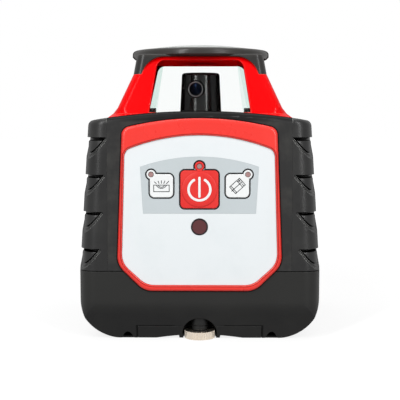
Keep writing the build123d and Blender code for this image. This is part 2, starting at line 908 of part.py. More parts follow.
# Contact plates at both ends, with a spring cone at each cell's flat end
with BuildPart() as battery_contacts:
    for i, x in enumerate(cell_places):
        span_x = (x - contact_half, x + contact_half)
        span_y = (cell_y - contact_half, cell_y + contact_half)
        block(span_x, span_y, (inside[0], inside[0] + contact_t))
        block(span_x, span_y, (inside[1] - contact_t, inside[1]))
        spring_low = inside[0] + contact_t
        if i % 2:
            spring_low = inside[1] - contact_t - contact_spring_h
        wide_end = contact_half - 1
        ends = (cell_nub_r, wide_end) if i % 2 else (wide_end, cell_nub_r)
        with Locations((x, cell_y, spring_low)):
            Cone(*ends, contact_spring_h, align=ON_FLOOR)
battery_contacts.part.label = "battery_contacts"
export_step(battery_contacts.part, "parts/battery_contacts.step")


def body_cavity():
    """Hollow of the upper body, flat under the lantern's pocket."""
    with BuildPart() as cavity:
        add(body_envelope(inner_inset, inner_inset, grip_core_r - wall, grip_t))
        wide = (-body_width, body_width)
        block(wide, wide, (0, cavity_top), mode=Mode.INTERSECT)
    return cavity.part


def lantern_pocket():
    """Square pocket in the body's top that takes the lantern's flange."""
    with BuildSketch(Plane.XY.offset(pocket_z)) as pocket:
        size = 2 * (flange_half + pocket_gap)
        RectangleRounded(size, size, flange_r + pocket_gap)
    extrude(pocket.sketch, amount=crown_z - pocket_z + 1, mode=Mode.SUBTRACT)


body_outer = body_envelope(0, 0, body_corner_r, 0)
body_core = body_envelope(grip_t, grip_t, grip_core_r, grip_t)
skin_depth = (notch_groove_depth, notch_groove_depth)
grip_skin = body_envelope(*skin_depth, body_corner_r - notch_groove_depth, notch_groove_depth)

# Upper body shell
with BuildPart() as main_housing:
    add(body_outer)
    middle = grip_inner_x - grip_joint
    block((-middle, middle), (-body_depth, body_depth), (0, crown_z), mode=Mode.INTERSECT)
    add(body_core)
    add(body_cavity(), mode=Mode.SUBTRACT)
    lantern_pocket()
    open_span = (-lantern_top_open, lantern_top_open)
    block(open_span, open_span, (cavity_top - 1, pocket_z + 1), mode=Mode.SUBTRACT)
    for x in (-chassis_column_x, chassis_column_x):
        for y in (-chassis_column_y, chassis_column_y):
            post(x, y, chassis_top, cavity_top + 1, chassis_column_r)
            post(x, y, chassis_top, chassis_top + chassis_screw_depth, chassis_screw_r, mode=Mode.SUBTRACT)
    corner_x = half_width(housing_low + case_boss_h) - grip_t - grip_core_r
    corner_y = half_depth - grip_t - grip_core_r
    rib_rise = case_screw_y + wall / 2 - corner_y
    rib_end = corner_x + sqrt((grip_core_r - wall / 2) ** 2 - rib_rise**2)
    for x, y in case_screw_places():
        post(x, y, housing_low, housing_low + case_boss_h, case_boss_r)
        rib = sorted((x, x / case_screw_x * rib_end))
        block(rib, (y - wall / 2, y + wall / 2), (housing_low, housing_low + case_boss_h))
        bore_top = housing_low + case_screw_reach
        post(x, y, housing_low, bore_top, case_screw_r, mode=Mode.SUBTRACT)
    bezel_space(Mode.SUBTRACT)
    with BuildSketch(Plane.XZ.offset(-half_depth)):
        with Locations((0, (rear_panel_low + rear_panel_high) / 2)):
            rear_size = (rear_panel_width, rear_panel_high - rear_panel_low)
            RectangleRounded(*rear_size, rear_panel_r)
    extrude(amount=rear_panel_depth, mode=Mode.SUBTRACT)
main_housing.part.label = "main_housing"
export_step(main_housing.part, "parts/main_housing.step")

# Red panel let into the back
with BuildPart() as rear_panel:
    with BuildSketch(Plane.XZ.offset(-half_depth)):
        with Locations((0, (rear_panel_low + rear_panel_high) / 2)):
            inlay = [size - 2 * rear_panel_gap for size in rear_size]
            RectangleRounded(*inlay, rear_panel_r)
    extrude(amount=rear_panel_depth)
rear_panel.part.label = "rear_panel"
export_step(rear_panel.part, "parts/rear_panel.step")


def grip_notch(side, y_side, top_z):
    """Slanted notch across one corner: flat above, with a ramp that runs out to the corner below."""
    length = hypot(notch_front, notch_side)
    outward = (side * notch_side / length, y_side * notch_front / length)
    start = (side * (half_width(top_z) - notch_front), y_side * half_depth, top_z)
    across = Plane(start, x_dir=(*outward, 0), z_dir=(outward[1], -outward[0], 0))
    with BuildSketch(across) as wedge:
        Polygon((0, 0), (notch_reach, 0), (notch_reach, -notch_reach * notch_slope), align=None)
    extrude(wedge.sketch, amount=2 * notch_side, both=True, mode=Mode.SUBTRACT)
    with BuildPart() as groove:
        ramp_end = -notch_reach * notch_slope
        with BuildSketch(across):
            ramp = [(0, 0), (notch_reach, ramp_end)]
            below = [(x, z - notch_groove) for x, z in reversed(ramp)]
            Polygon(*ramp, *below, align=None)
        extrude(amount=2 * notch_side, both=True)
        add(grip_skin, mode=Mode.SUBTRACT)
    add(groove.part, mode=Mode.SUBTRACT)


# Soft grips round the corners
with BuildPart() as left_grip:
    add(body_outer)
    block((-body_width, -grip_inner_x), (-body_depth, body_depth), (0, crown_z), mode=Mode.INTERSECT)
    add(body_core, mode=Mode.SUBTRACT)
    lantern_pocket()
    for i in range(notch_count):
        for y_side in (-1, 1):
            grip_notch(-1, y_side, notch_top_z - i * notch_pitch)
left_grip.part.label = "left_grip"
export_step(left_grip.part, "parts/left_grip.step")

with BuildPart() as right_grip:
    mirror(left_grip.part, about=Plane.YZ)
right_grip.part.label = "right_grip"
export_step(right_grip.part, "parts/right_grip.step")

# Red bezel: rounded frame, plate behind the panel and a flange that seats behind the front walls
with BuildPart() as front_bezel:
    front_slab(bezel_outline(), bezel_front, bezel_back)
    fillet(front_bezel.faces().sort_by(Axis.Y)[0].edges(), bezel_edge_r)
    lip = half_depth - wall
    front_slab(bezel_outline(bezel_flange), lip, lip - bezel_flange_t)
    front_slab(panel_outline(panel_gap), bezel_front + 1, panel_back, Mode.SUBTRACT)
    bead = front_bezel.faces().sort_by(Axis.Y)[0]
    fillet(bead.inner_wires()[0].edges(), bezel_inner_r)
    front_slab(bezel_outline(-bezel_rim), plate_back, bezel_back - 1, Mode.SUBTRACT)
    for outline in key_outlines.values():
        front_slab(outline(key_gap), panel_back + 1, plate_back - 1, Mode.SUBTRACT)
    receiver_hole = (-panel_front - 1, 1 - plate_back, receiver_z, receiver_r + key_gap)
    bar_y(0, *receiver_hole, mode=Mode.SUBTRACT)
    for x in (board_post_inset - board_half, board_half - board_post_inset):
        for z in (board_low + board_post_inset, board_high - board_post_inset):
            bar_y(x, -plate_back - 1, -board_front, z, board_post_r)
front_bezel.part.label = "front_bezel"
export_step(front_bezel.part, "parts/front_bezel.step")

# White key panel
with BuildPart() as keypad_panel:
    front_slab(panel_outline(), panel_front, panel_back)
    for outline in key_outlines.values():
        front_slab(outline(key_gap), panel_front + 1, panel_back - 1, Mode.SUBTRACT)
    bar_y(0, *receiver_hole, mode=Mode.SUBTRACT)
keypad_panel.part.label = "keypad_panel"
export_step(keypad_panel.part, "parts/keypad_panel.step")

# Keys: cap, hidden flange and a stem that meets the switch at full travel
for key_name, outline in key_outlines.items():
    key_x, key_z = key_centres[key_name]
    with BuildPart() as key:
        front_slab(outline(), key_front, key_flange_front)
        fillet(key.faces().sort_by(Axis.Y)[0].edges(), key_edge_r)
        front_slab(outline(key_flange), key_flange_front, key_flange_back)
        bar_y(key_x, -key_flange_back, -stem_tip, key_z, key_stem_r)
        if key_name == "power_key":
            bar_y(key_x, -key_front - power_dome_h, -key_front, key_z, power_dome_r)
            fillet(key.faces().sort_by(Axis.Y)[0].edges(), power_dome_edge)
        for x, z in lamp_places:
            bar_y(x, -key_front - 1, -stem_tip, z, lamp_r + key_gap, mode=Mode.SUBTRACT)
    key.part.label = key_name
    export_step(key.part, f"parts/{key_name}.step")

# Lamps, receiver, and the board with its switches
with BuildPart() as indicator_lenses:
    for x, z in lamp_places:
        bar_y(x, -key_front, -board_front, z, lamp_r)
indicator_lenses.part.label = "indicator_lenses"
export_step(indicator_lenses.part, "parts/indicator_lenses.step")

with BuildPart() as receiver_window:
    bar_y(0, -panel_front - receiver_proud, -plate_back, receiver_z, receiver_r)
    bar_y(0, -plate_back, receiver_flange - plate_back, receiver_z, receiver_r + receiver_flange)
receiver_window.part.label = "receiver_window"
export_step(receiver_window.part, "parts/receiver_window.step")

with BuildPart() as keypad_board:
    block((-board_half, board_half), (-board_front, -board_back), (board_low, board_high))
keypad_board.part.label = "keypad_board"
export_step(keypad_board.part, "parts/keypad_board.step")

with BuildPart() as key_switches:
    for x, z in key_centres.values():
        span_x = (x - switch_size / 2, x + switch_size / 2)
        span_z = (z - switch_size / 2, z + switch_size / 2)
        block(span_x, (-switch_top, -board_front), span_z)
key_switches.part.label = "key_switches"
export_step(key_switches.part, "parts/key_switches.step")

with BuildPart() as control_board:
    block(
        (-control_half_x, control_half_x),
        (control_low_y, control_high_y),
        (control_z, control_z + board_t),
    )
control_board.part.label = "control_board"
export_step(control_board.part, "parts/control_board.step")


def frustum(low, high, inset):
    """Tapered square block that follows the lantern's outer faces at an inset."""
    with BuildPart() as shape:
        for z in (low, high):
            size = 2 * (lantern_half(z) - inset)
            with BuildSketch(Plane.XY.offset(z)):
                RectangleRounded(size, size, post_corner_r - inset / 2)
        loft(ruled=True)
    return shape.part


def cap_lobes(top_z):
    """Square block with rounded corners that stands over the posts, almost upright."""
    with BuildPart() as lobes:
        for z in (tongue_low_z, top_z):
            size = 2 * (lantern_half(tongue_low_z) - tongue_slope * (z - tongue_low_z))
            with BuildSketch(Plane.XY.offset(z)):
                RectangleRounded(size, size, post_corner_r)
        loft(ruled=True)
    return lobes.part


def cap_skirt():
    """Four tongues that run down the posts, joined by arches with round corners."""
    arch_half_width = lantern_half(tongue_low_z) - tongue_tip
    with BuildPart() as skirt:
        add(cap_lobes(roof_top))
        add(frustum(tongue_low_z, roof_top, tongue_t), mode=Mode.SUBTRACT)
        for view in (Plane.XZ, Plane.YZ):
            with BuildSketch(view):
                with Locations((0, roof_top - body_width / 2)):
                    RectangleRounded(2 * arch_half_width, body_width, arch_corner_r)
            extrude(amount=body_width, both=True, mode=Mode.SUBTRACT)
    return skirt.part


# Lantern: flange in the pocket, flared foot, four leaning posts, deck and roof in one casting
with BuildPart() as lantern_frame:
    lantern_sections = (
        (pocket_z, flange_half, flange_half, flange_r),
        (pocket_z + flange_h, flange_half, flange_half, flange_r),
        (flare_mid_z, flare_mid_half, lantern_half(flare_mid_z), flange_r - 2),
        (lantern_foot_z, lantern_foot_half, lantern_foot_half, post_corner_r),
        (roof_top, lantern_half(roof_top), lantern_half(roof_top), post_corner_r),
    )
    for z, half_x, half_y, radius in lantern_sections:
        with BuildSketch(Plane.XY.offset(z)):
            RectangleRounded(2 * half_x, 2 * half_y, radius)
    loft(ruled=True)
    add(frustum(deck_top, roof_low, lantern_wall), mode=Mode.SUBTRACT)
    block(open_span, open_span, (pocket_z - 1, deck_low), mode=Mode.SUBTRACT)
    post(0, 0, deck_low - 1, deck_top + 1, deck_hole_r, mode=Mode.SUBTRACT)
    window_views = (
        (Plane.XZ, 0, 0),
        (-Plane.XZ, rear_low_extra, rear_top_extra),
        (Plane.YZ, 0, 0),
        (-Plane.YZ, 0, 0),
    )
    for view, low_extra, top_extra in window_views:
        with BuildSketch(view) as window:
            low, high = window_sill_half + low_extra, window_top_half + top_extra
            up = view.to_local_coords(Vector(0, 0, 1)).Y
            corners = [(-low, window_sill_z), (low, window_sill_z), (high, roof_low), (-high, roof_low)]
            Polygon(*[(x, z * up) for x, z in corners], align=None)
            top_corners = [v for v in window.vertices() if abs(abs(v.Y) - roof_low) < 0.01]
            fillet(top_corners, window_r)
        extrude(amount=body_width, mode=Mode.SUBTRACT)
    add(cap_skirt(), mode=Mode.SUBTRACT)
lantern_frame.part.label = "lantern_frame"
export_step(lantern_frame.part, "parts/lantern_frame.step")


def glass_pane(low_half, high_half):
    """Leaning pane for the front window, narrower at the top."""
    with BuildPart() as pane:
        for z, half in ((deck_top + pane_gap, low_half), (roof_low - pane_gap, high_half)):
            back_y = lantern_wall + pane_gap - lantern_half(z)
            with BuildSketch(Plane.XY.offset(z)):
                with Locations((0, back_y + pane_t / 2)):
                    Rectangle(2 * half, pane_t)
        loft(ruled=True)
    return pane.part


# Glass panes, leaning against the posts from inside
with BuildPart() as lantern_windows:
    narrow = glass_pane(window_sill_half + pane_overlap, window_top_half + pane_overlap)
    rear_low = window_sill_half + rear_low_extra + rear_pane_overlap
    rear_top = window_top_half + rear_top_extra + rear_pane_overlap
    for turn in (0, 90, 270):
        add(narrow.rotate(Axis.Z, turn))
    add(glass_pane(rear_low, rear_top).rotate(Axis.Z, 180))
lantern_windows.part.label = "lantern_windows"
export_step(lantern_windows.part, "parts/lantern_windows.step")

# Black blocks that hold the panes at the lower corners
with BuildPart() as window_seats:
    seat_top = deck_top + seat_height
    seat_outer = lantern_half(seat_top) - lantern_wall - pane_t - 3 * pane_gap
    seat_z = (deck_top, seat_top)
    for x_side in (-1, 1):
        for y_side in (-1, 1):
            reach_x = seat_inner + (rear_low_extra if y_side > 0 else 0)
            long_x = sorted((x_side * reach_x, x_side * seat_outer))
            long_y = sorted((y_side * seat_inner, y_side * seat_outer))
            short_x = sorted((x_side * (seat_outer - seat_width), x_side * seat_outer))
            short_y = sorted((y_side * (seat_outer - seat_width), y_side * seat_outer))
            block(long_x, short_y, seat_z)
            block(short_x, long_y, seat_z)
window_seats.part.label = "window_seats"
export_step(window_seats.part, "parts/window_seats.step")

# Black cap with its tongues, and the pale plate let into its top
with BuildPart() as top_cap:
    post(0, 0, roof_top, cap_top, cap_r)
    fillet(top_cap.edges().group_by(Axis.Z)[-1], cap_edge_r)
    chamfer(top_cap.edges().group_by(Axis.Z)[0], cap_lower_chamfer)
    with BuildPart() as crown:
        add(cap_lobes(lobe_top))
        lobe_span = (-cap_r * 2, cap_r * 2)
        block(lobe_span, lobe_span, (roof_top, lobe_top), mode=Mode.INTERSECT)
        fillet(crown.edges().group_by(Axis.Z)[-1], lobe_edge_r)
    add(cap_skirt())
    plate_low = cap_top - cap_plate_sink
    post(0, 0, plate_low, cap_top, cap_plate_r, mode=Mode.SUBTRACT)
top_cap.part.label = "top_cap"
export_step(top_cap.part, "parts/top_cap.step")

with BuildPart() as cap_plate:
    post(0, 0, plate_low, cap_top + cap_plate_rise, cap_plate_r)
    dome_r = (cap_plate_r**2 + cap_plate_rise**2) / (2 * cap_plate_rise)
    with Locations((0, 0, cap_top + cap_plate_rise - dome_r)):
        Sphere(dome_r, mode=Mode.INTERSECT)
cap_plate.part.label = "cap_plate"
export_step(cap_plate.part, "parts/cap_plate.step")


def level_place(angle, aside):
    """Plan place of a levelling drive's screw, or of a guide beside it."""
    turn = radians(angle)
    return lead_radius * cos(turn) - aside * sin(turn), lead_radius * sin(turn) + aside * cos(turn)


chassis_places = [
    (x, y)
    for x in (-chassis_column_x, chassis_column_x)
    for y in (-chassis_column_y, chassis_column_y)
]
guide_top = chassis_low + chassis_t / 2

# Chassis plate with the two lugs that carry the gimbal
with BuildPart() as chassis_plate:
    block(
        (-chassis_half_x, chassis_half_x),
        (-chassis_half_y, chassis_half_y),
        (chassis_low, chassis_top),
    )
    post(0, 0, chassis_low, chassis_top, chassis_hole_r, mode=Mode.SUBTRACT)
    for side in (-1, 1):
        lug = sorted((side * lug_inner_x, side * (lug_inner_x + lug_t)))
        block(lug, (-lug_width / 2, lug_width / 2), (chassis_low, platform_top))
        bar_x(*lug, 0, gimbal_z, gimbal_pin_r, mode=Mode.SUBTRACT)
    for x, y in chassis_places:
        post(x, y, chassis_low, chassis_top, chassis_screw_r, mode=Mode.SUBTRACT)
    for angle in level_angles.values():
        lead_hole = (chassis_low, chassis_top, lead_r + running_gap)
        post(*level_place(angle, 0), *lead_hole, mode=Mode.SUBTRACT)
        for aside in (-guide_offset, guide_offset):
            post(*level_place(angle, aside), chassis_low, guide_top, guide_r, mode=Mode.SUBTRACT)
chassis_plate.part.label = "chassis_plate"
export_step(chassis_plate.part, "parts/chassis_plate.step")

with BuildPart() as chassis_screws:
    for x, y in chassis_places:
        post(x, y, chassis_low - chassis_head_h, chassis_low, chassis_head_r)
        post(x, y, chassis_low, chassis_top + chassis_screw_depth, chassis_screw_r)
chassis_screws.part.label = "chassis_screws"
export_step(chassis_screws.part, "parts/chassis_screws.step")

# Gimbal ring: turns about X on the outer pins and carries the platform on the inner pins
with BuildPart() as gimbal_ring:
    ring_z = (gimbal_z - ring_h / 2, gimbal_z + ring_h / 2)
    tube(*ring_z, ring_outer_r, ring_inner_r)
    bar_x(-body_width, body_width, 0, gimbal_z, gimbal_pin_r + running_gap, mode=Mode.SUBTRACT)
    bar_y(0, -body_depth, body_depth, gimbal_z, gimbal_pin_r, mode=Mode.SUBTRACT)
gimbal_ring.part.label = "gimbal_ring"
export_step(gimbal_ring.part, "parts/gimbal_ring.step")

with BuildPart() as gimbal_outer_pins:
    for side in (-1, 1):
        span = sorted((side * ring_inner_r, side * (lug_inner_x + lug_t)))
        bar_x(*span, 0, gimbal_z, gimbal_pin_r)
gimbal_outer_pins.part.label = "gimbal_outer_pins"
export_step(gimbal_outer_pins.part, "parts/gimbal_outer_pins.step")

with BuildPart() as gimbal_inner_pins:
    for side in (-1, 1):
        span = sorted((side * (platform_r - pin_seat), side * ring_outer_r))
        bar_y(0, *span, gimbal_z, gimbal_pin_r)
gimbal_inner_pins.part.label = "gimbal_inner_pins"
export_step(gimbal_inner_pins.part, "parts/gimbal_inner_pins.step")

# Tilting platform with the hollow spindle that the head spins on
with BuildPart() as tilt_platform:
    post(0, 0, platform_low, platform_top, platform_r)
    post(0, 0, platform_top, spindle_top, spindle_r)
    post(0, 0, platform_low, spindle_top, spindle_bore_r, mode=Mode.SUBTRACT)
    post(motor_x, motor_y, platform_low, platform_top, motor_shaft_r + shaft_clear, mode=Mode.SUBTRACT)
    for side in (-1, 1):
        span = sorted((side * (platform_r - pin_seat), side * ring_inner_r))
        bar_y(0, *span, gimbal_z, gimbal_pin_r + running_gap, mode=Mode.SUBTRACT)
tilt_platform.part.label = "tilt_platform"
export_step(tilt_platform.part, "parts/tilt_platform.step")

# Laser: tube under the platform, module in its foot and collimating lens above
with BuildPart() as laser_tube:
    tube(tube_low, platform_low, tube_r, tube_r - tube_wall)
laser_tube.part.label = "laser_tube"
export_step(laser_tube.part, "parts/laser_tube.step")

with BuildPart() as laser_module:
    post(0, 0, tube_low - module_flange_h, tube_low, tube_r)
    module_top = tube_low + module_length
    post(0, 0, tube_low, module_top, tube_r - tube_wall)
    post(0, 0, module_top - module_flange_h, module_top, module_bore_r, mode=Mode.SUBTRACT)
laser_module.part.label = "laser_module"
export_step(laser_module.part, "parts/laser_module.step")

with BuildPart() as collimator_lens:
    post(0, 0, lens_z, lens_z + lens_t, tube_r - tube_wall)
collimator_lens.part.label = "collimator_lens"
export_step(collimator_lens.part, "parts/collimator_lens.step")

# Arm clamped on the tube, with one rod into each levelling nut
with BuildPart() as level_arm:
    tube(rod_z - clamp_h / 2, rod_z + clamp_h / 2, tube_r + clamp_wall, tube_r)
    rod_span = (tube_r + clamp_wall / 2, level_radius + rod_tip_past)
    bar_x(-rod_span[1], -rod_span[0], 0, rod_z, rod_r)
    bar_y(0, *rod_span, rod_z, rod_r)
level_arm.part.label = "level_arm"
export_step(level_arm.part, "parts/level_arm.step")

# Bracket on the tube with one level vial along X and one along Y
vial_z = bracket_low + bracket_h + vial_r - vial_sink
vial_along_x = (tube_r + vial_sink, tube_r + vial_sink + vial_length)
vial_across_x = bracket_reach - vial_r - 1
with BuildPart() as sensor_bracket:
    bracket_z = (bracket_low, bracket_low + bracket_h)
    post(0, 0, *bracket_z, tube_r + clamp_wall)
    block((0, bracket_reach), (-bracket_half, bracket_half), bracket_z)
    post(0, 0, *bracket_z, tube_r, mode=Mode.SUBTRACT)
    bar_x(*vial_along_x, 0, vial_z, vial_r, mode=Mode.SUBTRACT)
    bar_y(vial_across_x, -vial_length / 2, vial_length / 2, vial_z, vial_r, mode=Mode.SUBTRACT)
sensor_bracket.part.label = "sensor_bracket"
export_step(sensor_bracket.part, "parts/sensor_bracket.step")

with BuildPart() as level_vials:
    bar_x(*vial_along_x, 0, vial_z, vial_r)
    bar_y(vial_across_x, -vial_length / 2, vial_length / 2, vial_z, vial_r)
level_vials.part.label = "level_vials"
export_step(level_vials.part, "parts/level_vials.step")

# Levelling drives, each built along its own +X: motor, lead screw and slotted nut on two guides
flange_z = (level_motor_top, level_motor_top + level_flange_t)
lead_low = level_motor_top - lead_in_motor
for drive, angle in level_angles.items():
    drive_plane = Plane.XY.rotated((0, 0, angle))
    with BuildPart(drive_plane) as level_motor:
        post(lead_radius, 0, level_motor_top - level_motor_h, level_motor_top, level_motor_r)
        flange_x = (lead_radius - level_flange_half_x, lead_radius + level_flange_half_x)
        block(flange_x, (-level_flange_half_y, level_flange_half_y), flange_z)
        post(lead_radius, 0, lead_low, flange_z[1], lead_r + running_gap, mode=Mode.SUBTRACT)
        for aside in (-guide_offset, guide_offset):
            post(lead_radius, aside, *flange_z, guide_r, mode=Mode.SUBTRACT)
    level_motor.part.label = f"{drive}_motor"
    export_step(level_motor.part, f"parts/{drive}_motor.step")

    with BuildPart(drive_plane) as lead_screw:
        post(lead_radius, 0, lead_low, chassis_top, lead_r)
    lead_screw.part.label = f"{drive}_lead_screw"
    export_step(lead_screw.part, f"parts/{drive}_lead_screw.step")

    with BuildPart(drive_plane) as level_nut:
        nut_z = (rod_z - nut_block_h / 2, rod_z + nut_block_h / 2)
        block((nut_block_inner, nut_block_outer), (-nut_block_half, nut_block_half), nut_z)
        slot_half = rod_r + slot_side_clear
        slot_z = (rod_z - rod_r - slot_clear, rod_z + rod_r + slot_clear)
        slot_x = (nut_block_inner, nut_block_inner + slot_depth)
        block(slot_x, (-slot_half, slot_half), slot_z, mode=Mode.SUBTRACT)
        post(lead_radius, 0, *nut_z, lead_r + running_gap, mode=Mode.SUBTRACT)
        for aside in (-guide_offset, guide_offset):
            post(lead_radius, aside, *nut_z, guide_r + running_gap, mode=Mode.SUBTRACT)
    level_nut.part.label = f"{drive}_nut"
    export_step(level_nut.part, f"parts/{drive}_nut.step")

with BuildPart() as guide_rods:
    for angle in level_angles.values():
        for aside in (-guide_offset, guide_offset):
            post(*level_place(angle, aside), level_motor_top, guide_top, guide_r)
guide_rods.part.label = "guide_rods"
export_step(guide_rods.part, "parts/guide_rods.step")

# Head drive: motor under the platform, its pulley, the belt and the two spindle bearings
shaft_low = platform_low - motor_length / 2
with BuildPart() as drive_motor:
    post(motor_x, motor_y, platform_low - motor_length, platform_low, motor_r)
    post(motor_x, motor_y, shaft_low, platform_low, motor_shaft_r + running_gap, mode=Mode.SUBTRACT)
drive_motor.part.label = "drive_motor"
export_step(drive_motor.part, "parts/drive_motor.step")


def pulley(x, y, groove_r, flange_r):
    """Flat belt pulley with two flanges."""
    top = hub_low + pulley_h
    post(x, y, hub_low, top, groove_r)
    post(x, y, hub_low, hub_low + pulley_flange_t, flange_r)
    post(x, y, top - pulley_flange_t, top, flange_r)


with BuildPart() as motor_pulley:
    pulley(motor_x, motor_y, motor_pulley_r, motor_pulley_flange_r)
    post(motor_x, motor_y, shaft_low, hub_low, motor_shaft_r)
motor_pulley.part.label = "motor_pulley"
export_step(motor_pulley.part, "parts/motor_pulley.step")

with BuildPart() as drive_belt:
    belt_low = hub_low + (pulley_h - belt_h) / 2
    for grow, mode in ((belt_gap + belt_t, Mode.ADD), (belt_gap, Mode.SUBTRACT)):
        with BuildSketch(Plane.XY.offset(belt_low)):
            Circle(pulley_r + grow)
            with Locations((motor_x, motor_y)):
                Circle(motor_pulley_r + grow)
            make_hull()
        extrude(amount=belt_h, mode=mode)
drive_belt.part.label = "drive_belt"
export_step(drive_belt.part, "parts/drive_belt.step")

with BuildPart() as spindle_bearings:
    for low in (bearing_low_z, bearing_high_z):
        tube(low, low + bearing_w, bearing_r, spindle_r)
spindle_bearings.part.label = "spindle_bearings"
export_step(spindle_bearings.part, "parts/spindle_bearings.step")

# Spinning head: hub with its pulley, tapered housing, prism and beam opening
turn = radians(aperture_turn)
outward = (sin(turn), -cos(turn), 0)
beam_plane = Plane((0, 0, aperture_z), x_dir=(cos(turn), sin(turn), 0), z_dir=outward)
with BuildPart() as rotor_hub:
    post(0, 0, hub_low, hub_top, hub_r)
    pulley(0, 0, pulley_r, pulley_flange_r)
    post(0, 0, hub_low, hub_top - hub_cap_t, bearing_r + running_gap, mode=Mode.SUBTRACT)
    post(0, 0, hub_low, hub_top, beam_r, mode=Mode.SUBTRACT)
rotor_hub.part.label = "rotor_hub"
export_step(rotor_hub.part, "parts/rotor_hub.step")

with BuildPart() as rotor_head:
    with Locations((0, 0, head_low)):
        Cone(head_low_r, head_top_r, head_top - head_low, align=ON_FLOOR)
    fillet(rotor_head.edges().group_by(Axis.Z)[-1], head_edge_r)
    post(0, 0, head_low, hub_top, hub_r, mode=Mode.SUBTRACT)
    post(0, 0, hub_top, head_top - head_roof, chamber_r, mode=Mode.SUBTRACT)
    with Locations(beam_plane):
        post(0, 0, 0, head_low_r + 1, aperture_r, mode=Mode.SUBTRACT)
rotor_head.part.label = "rotor_head"
export_step(rotor_head.part, "parts/rotor_head.step")

with BuildPart() as pentaprism:
    upright_plane = Plane((0, 0, hub_top), x_dir=outward, z_dir=(-cos(turn), -sin(turn), 0))
    with BuildSketch(upright_plane):
        a = prism_size
        roof = (sqrt(2) - 1) * a
        Polygon(
            (-a / 2, 0),
            (a / 2, 0),
            (a / 2, a),
            (-a / 2, a + roof),
            (-a / 2 - roof, a),
            align=None,
        )
    extrude(amount=prism_size / 2, both=True)
pentaprism.part.label = "pentaprism"
export_step(pentaprism.part, "parts/pentaprism.step")

with BuildPart(beam_plane) as aperture_ring:
    tube(aperture_inner, aperture_outer, aperture_r, aperture_bore_r)
aperture_ring.part.label = "aperture_ring"
export_step(aperture_ring.part, "parts/aperture_ring.step")

with BuildPart(beam_plane) as aperture_lens:
    post(0, 0, aperture_inner, aperture_inner + aperture_lens_t, aperture_bore_r)
aperture_lens.part.label = "aperture_lens"
export_step(aperture_lens.part, "parts/aperture_lens.step")
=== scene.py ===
"""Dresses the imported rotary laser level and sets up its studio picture.

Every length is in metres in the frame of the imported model: X runs to the right of the key panel, the
panel faces -Y and Z is up from the resting rails.
"""

from __future__ import annotations

import logging
import math
from collections.abc import Iterable, Sequence
from dataclasses import dataclass, field
from enum import Enum

import bmesh
import bpy
from mathutils import Matrix, Vector
from mathutils.geometry import convex_hull_2d

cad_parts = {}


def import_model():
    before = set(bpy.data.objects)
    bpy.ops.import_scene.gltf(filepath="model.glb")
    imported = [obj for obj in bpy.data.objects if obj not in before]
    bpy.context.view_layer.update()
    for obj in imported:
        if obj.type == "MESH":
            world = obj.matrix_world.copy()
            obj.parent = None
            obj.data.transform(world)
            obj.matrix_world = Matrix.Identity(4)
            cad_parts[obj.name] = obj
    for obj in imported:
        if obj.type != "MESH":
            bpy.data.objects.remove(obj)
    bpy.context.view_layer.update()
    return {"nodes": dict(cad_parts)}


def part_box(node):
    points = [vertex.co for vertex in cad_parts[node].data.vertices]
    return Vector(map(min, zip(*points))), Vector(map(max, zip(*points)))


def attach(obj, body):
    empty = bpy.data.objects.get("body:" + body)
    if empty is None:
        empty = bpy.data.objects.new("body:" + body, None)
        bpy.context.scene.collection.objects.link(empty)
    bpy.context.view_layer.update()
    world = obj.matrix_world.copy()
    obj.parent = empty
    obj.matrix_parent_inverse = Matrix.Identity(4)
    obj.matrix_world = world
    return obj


LOG = logging.getLogger("laser_level")
MM = 0.001
WHITE = (1.0, 1.0, 1.0, 1.0)
Pair = tuple[float, float]
Place = tuple[float, float, float]
Mesh = bpy.types.Mesh
Socket = bpy.types.NodeSocket
Tree = bpy.types.NodeTree


def to_linear(hex_colour: str) -> tuple[float, float, float, float]:
    """Turns an sRGB hex colour into linear RGBA.

    Args:
        hex_colour: Six hex digits after a number sign.

    Returns:
        The linear red, green and blue values, with an alpha of one.
    """
    values = [int(hex_colour[i : i + 2], 16) / 255 for i in (1, 3, 5)]
    linear = [v / 12.92 if v <= 0.04045 else ((v + 0.055) / 1.055) ** 2.4 for v in values]
    return linear[0], linear[1], linear[2], 1.0


def per_metre(size_mm: float) -> float:
    """Gives the texture scale whose pattern repeats about every so many millimetres."""
    return 1 / (size_mm * MM)


def ramp(start: Pair, end: Pair = (0.0, 1.0)) -> dict[str, float]:
    """Gives the settings that carry one range of values to another."""
    return {"From Min": start[0], "From Max": start[1], "To Min": end[0], "To Max": end[1]}


def add_node(
    tree: Tree, kind: str, settings: dict | None = None, links: dict | None = None
) -> bpy.types.Node:
    """Adds a shader node, with its settings and its incoming links.

    Args:
        tree: The node tree that takes the node.
        kind: The node's Blender type name, less the words that all shader nodes share.
        settings: Attribute values, or input values by socket name or number.
        links: Output sockets to join, by input socket name or number.

    Returns:
        The new node.
    """
    node = tree.nodes.new(f"ShaderNode{kind}")
    for key, value in (settings or {}).items():
        if isinstance(key, str) and hasattr(node, key):
            setattr(node, key, value)
        else:
            node.inputs[key].default_value = value
    for key, socket in (links or {}).items():
        tree.links.new(socket, node.inputs[key])
    return node


def opaque_shader(
    tree: Tree, looks: dict[str, Socket], shine: float, fade: Pair, metallic: float = 0.0
) -> Socket:
    """Makes an opaque surface whose shine fades at a slant, where a grain's own bumps hide it.

    Args:
        tree: The material's node tree.
        looks: Sockets of the surface's colour, roughness and normal, by input name.
        shine: Specular level seen face on.
        fade: Slant at which that level starts to fade, and at which it is gone.
        metallic: One for bare metal, less for a dyed skin over it.

    Returns:
        The surface's shader.
    """
    slant = add_node(tree, "LayerWeight", {"Blend": 0.5}).outputs["Facing"]
    level = add_node(tree, "MapRange", ramp(fade, (shine, 0.0)), {"Value": slant})
    settings = {"Metallic": metallic, "Specular IOR Level": shine}
    links = {**looks, "Specular IOR Level": level.outputs[0]}
    return add_node(tree, "BsdfPrincipled", settings, links).outputs["BSDF"]


